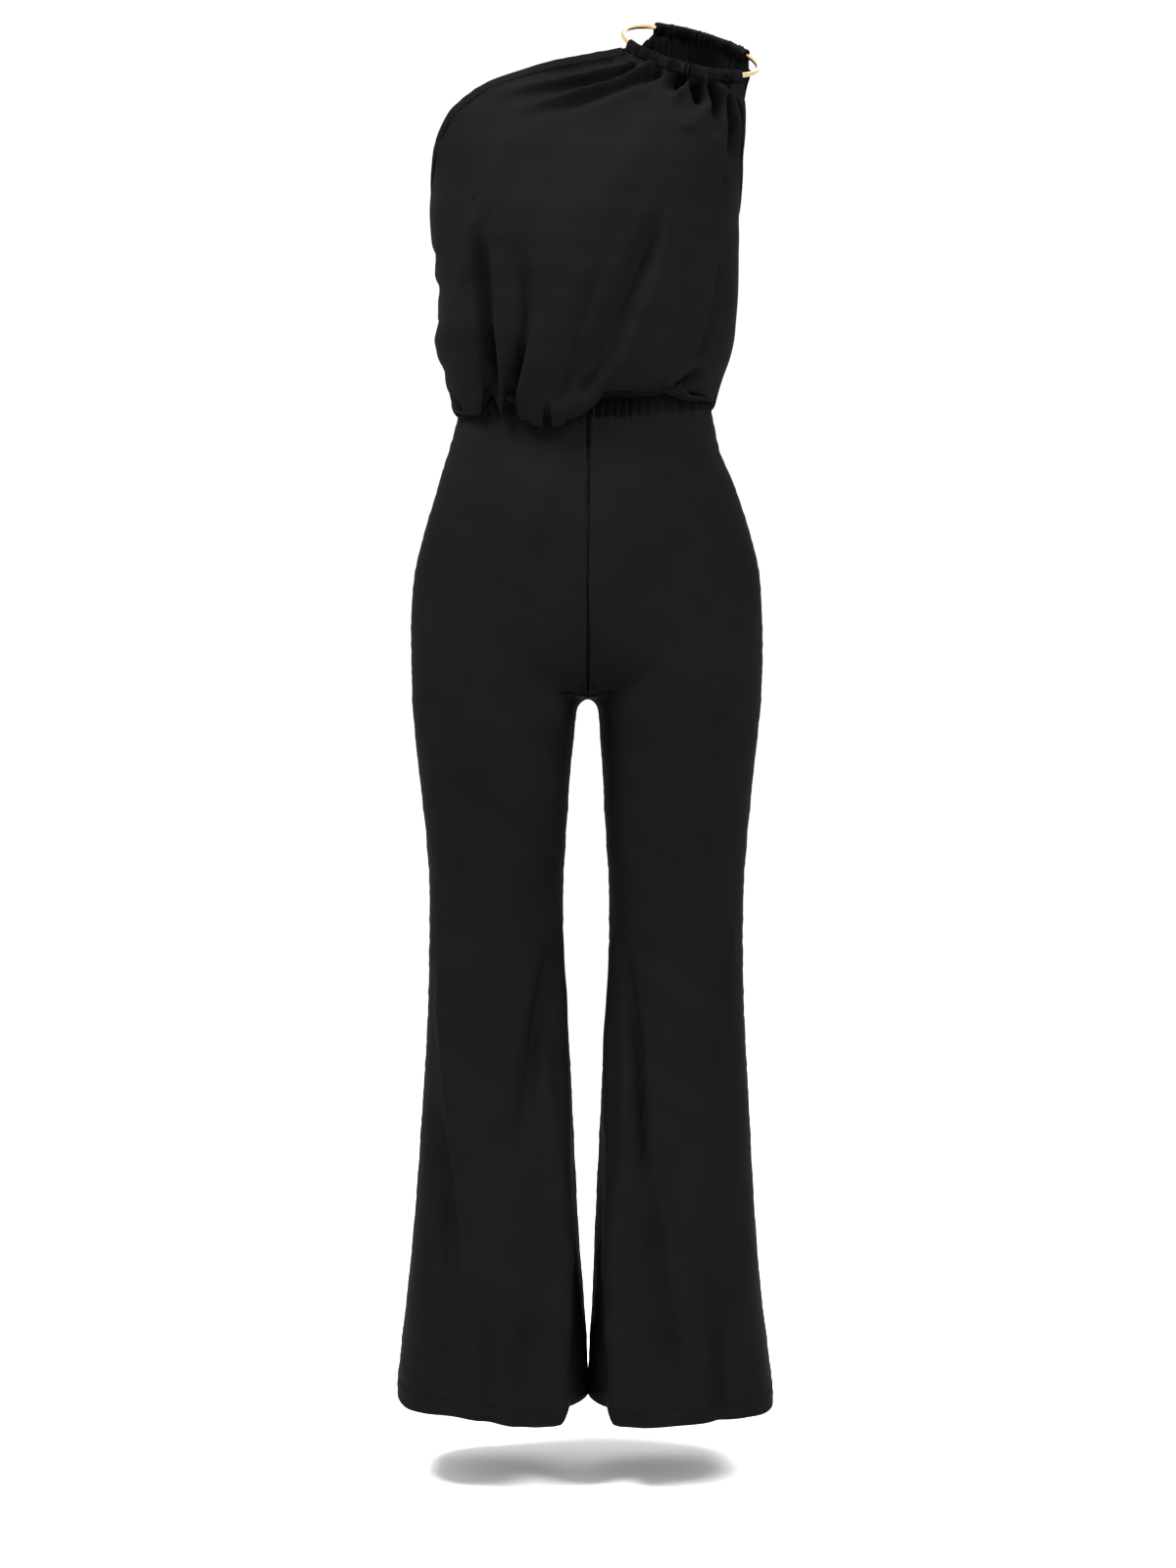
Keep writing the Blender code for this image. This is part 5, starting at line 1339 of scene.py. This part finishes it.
class JUMPSUIT_OT_bindings(bpy.types.Operator):
    """Folded bindings of the neckline and the left armhole"""
    bl_idname = "jumpsuit.bindings"
    bl_label = "Bindings"
    bl_options = {"REGISTER", "UNDO"}

    def execute(self, context):
        settings = context.scene.jumpsuit
        panels = both_bodice_panels(settings)
        for name, length in (("neckline", 0.58), ("armhole", 0.31)):
            loops = binding_loops(panels, name, settings)
            piece = closed_tube(f"{name}_bound_edge", loops, knit_material(settings))
            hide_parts(f"{name}_binding")
        return {"FINISHED"}


class JUMPSUIT_OT_waist(bpy.types.Operator):
    """Gathered elastic ring in the waist seam"""
    bl_idname = "jumpsuit.waist"
    bl_label = "Waist elastic"
    bl_options = {"REGISTER", "UNDO"}

    def execute(self, context):
        settings = context.scene.jumpsuit
        piece = cloth_wall("gathered_waist_band", *elastic_walls(settings), knit_material(settings), ring=True)
        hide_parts("waist_elastic")
        return {"FINISHED"}


class JUMPSUIT_OT_trousers(bpy.types.Operator):
    """Four flared trouser panels with turned hems"""
    bl_idname = "jumpsuit.trousers"
    bl_label = "Trousers"
    bl_options = {"REGISTER", "UNDO"}

    def execute(self, context):
        settings = context.scene.jumpsuit
        for leg, side in (("right", -1.0), ("left", 1.0)):
            for part, flat, area in (("front", (0.34, 1.02), 0.260), ("back", (0.36, 1.04), 0.272)):
                outer, inner = trouser_panel(side, part, settings)
                piece = cloth_wall(f"{leg}_{part}_trouser_panel", outer, inner, knit_material(settings))
                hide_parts(f"trouser_{part}_{leg}")
        return {"FINISHED"}


class JUMPSUIT_OT_hoop(bpy.types.Operator):
    """Closed ring of plated wire at the shoulder"""
    bl_idname = "jumpsuit.hoop"
    bl_label = "Shoulder hoop"
    bl_options = {"REGISTER", "UNDO"}

    def execute(self, context):
        settings = context.scene.jumpsuit
        wire = shared_material("gold_plated_drawn_wire", plated_wire, tuple(settings.wire_colour))
        piece = closed_tube("shoulder_hoop_wire", hoop_loops(settings.wire_radius), wire, ring=True)
        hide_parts("shoulder_hoop")
        return {"FINISHED"}


class JUMPSUIT_OT_stitching(bpy.types.Operator):
    """Stitches of the hems and the bindings"""
    bl_idname = "jumpsuit.stitching"
    bl_label = "Stitching"
    bl_options = {"REGISTER", "UNDO"}

    def execute(self, context):
        settings = context.scene.jumpsuit
        groups = []
        for side in (-1.0, 1.0):
            for part in ("front", "back"):
                walls = trouser_panel(side, part, settings)
                for below_turning in (0.0010, 0.0034):
                    line, normal = hem_line(*walls, HEM_TURNING - below_turning)
                    groups.append(stitch_line(line, normal, settings, 0.0003))
        put_stitches("hem_stitching", groups, thread_material(settings))
        panels = both_bodice_panels(settings)
        groups = []
        for name in ("neckline", "armhole"):
            _, _, normal = bound_edge(panels, name)
            groups.append(stitch_line(binding_loops(panels, name, settings)[:, 1], normal, settings, 0.0001))
        put_stitches("binding_stitching", groups, thread_material(settings))
        return {"FINISHED"}


class JUMPSUIT_OT_stage(bpy.types.Operator):
    """White paper floor, soft studio light and the camera"""
    bl_idname = "jumpsuit.stage"
    bl_label = "Studio"
    bl_options = {"REGISTER", "UNDO"}

    def execute(self, context):
        settings = context.scene.jumpsuit
        reach = np.linspace(-FLOOR_HALF_WIDTH, FLOOR_HALF_WIDTH, FLOOR_STATIONS)
        across, deep = np.meshgrid(reach, reach, indexing="ij")
        level = np.full_like(across, -HEM_BELOW_ZERO - settings.floor_drop - HOLD_POINT[2])
        points = np.stack([across, deep, level], axis=-1).reshape(-1, 3)
        quads, _ = tube_faces(FLOOR_STATIONS, FLOOR_STATIONS, False, False)
        mesh = bpy.data.meshes.new("studio_floor")
        mesh.from_pydata(points.tolist(), [], quads.tolist())
        paper = shared_material("matt_seamless_paper", studio_paper, tuple(settings.floor_colour))
        mesh.materials.append(paper)
        floor = bpy.data.objects.new("studio_floor", mesh)
        context.scene.collection.objects.link(floor)

        world = bpy.data.worlds.new("white_studio")
        world.use_nodes = True
        background = world.node_tree.nodes["Background"]
        background.inputs["Color"].default_value = (1.0, 1.0, 1.0, 1.0)
        background.inputs["Strength"].default_value = SKY_STRENGTH
        context.scene.world = world
        for name, place, size, share in LAMPS:
            lamp = bpy.data.lights.new(name, "AREA")
            lamp.energy = settings.light_power * share
            lamp.size = size
            light = bpy.data.objects.new(name, lamp)
            context.scene.collection.objects.link(light)
            light.location = GARMENT_MIDDLE + place
            way = np.array(place) / np.linalg.norm(place)
            light.rotation_euler = (math.acos(way[2]), 0.0, math.atan2(way[0], -way[1]))

        lens = bpy.data.cameras.new("studio_camera")
        lens.sensor_width, lens.lens = SENSOR_WIDTH, FOCAL_LENGTH
        lens.clip_start, lens.clip_end = 0.05, 60.0
        camera = bpy.data.objects.new("studio_camera", lens)
        context.scene.collection.objects.link(camera)
        camera.location = CAMERA_PLACE
        camera.rotation_euler = (math.radians(90), 0.0, 0.0)
        context.scene.camera = camera
        context.scene.view_settings.view_transform = "Standard"
        return {"FINISHED"}


class JUMPSUIT_PT_sidebar(bpy.types.Panel):
    """Sizes, colours and pieces of the jumpsuit"""
    bl_idname = "JUMPSUIT_PT_sidebar"
    bl_label = "Jumpsuit"
    bl_space_type = "VIEW_3D"
    bl_region_type = "UI"
    bl_category = "Jumpsuit"

    def draw(self, context):
        settings = context.scene.jumpsuit
        for name in JumpsuitSettings.__annotations__:
            self.layout.prop(settings, name)
        for operator in OPERATORS:
            self.layout.operator(operator.bl_idname)


OPERATORS = (JUMPSUIT_OT_hoop, JUMPSUIT_OT_bodice, JUMPSUIT_OT_casings, JUMPSUIT_OT_bindings, JUMPSUIT_OT_waist,
             JUMPSUIT_OT_trousers, JUMPSUIT_OT_stitching, JUMPSUIT_OT_stage)
CLASSES = (JumpsuitSettings, *OPERATORS, JUMPSUIT_PT_sidebar)


def register():
    """Adds the settings, the operators and the panel."""
    for made in CLASSES:
        bpy.utils.register_class(made)
    bpy.types.Scene.jumpsuit = bpy.props.PointerProperty(type=JumpsuitSettings)


def unregister():
    """Takes them away again, in the reverse order."""
    del bpy.types.Scene.jumpsuit
    for made in reversed(CLASSES):
        bpy.utils.unregister_class(made)


def main():
    """Builds every piece and the studio."""
    register()
    bpy.ops.jumpsuit.hoop()
    bpy.ops.jumpsuit.bodice()
    bpy.ops.jumpsuit.casings()
    bpy.ops.jumpsuit.bindings()
    bpy.ops.jumpsuit.waist()
    bpy.ops.jumpsuit.trousers()
    bpy.ops.jumpsuit.stitching()
    bpy.ops.jumpsuit.stage()
    bpy.context.view_layer.update()


if __name__ == "__main__":
    main()
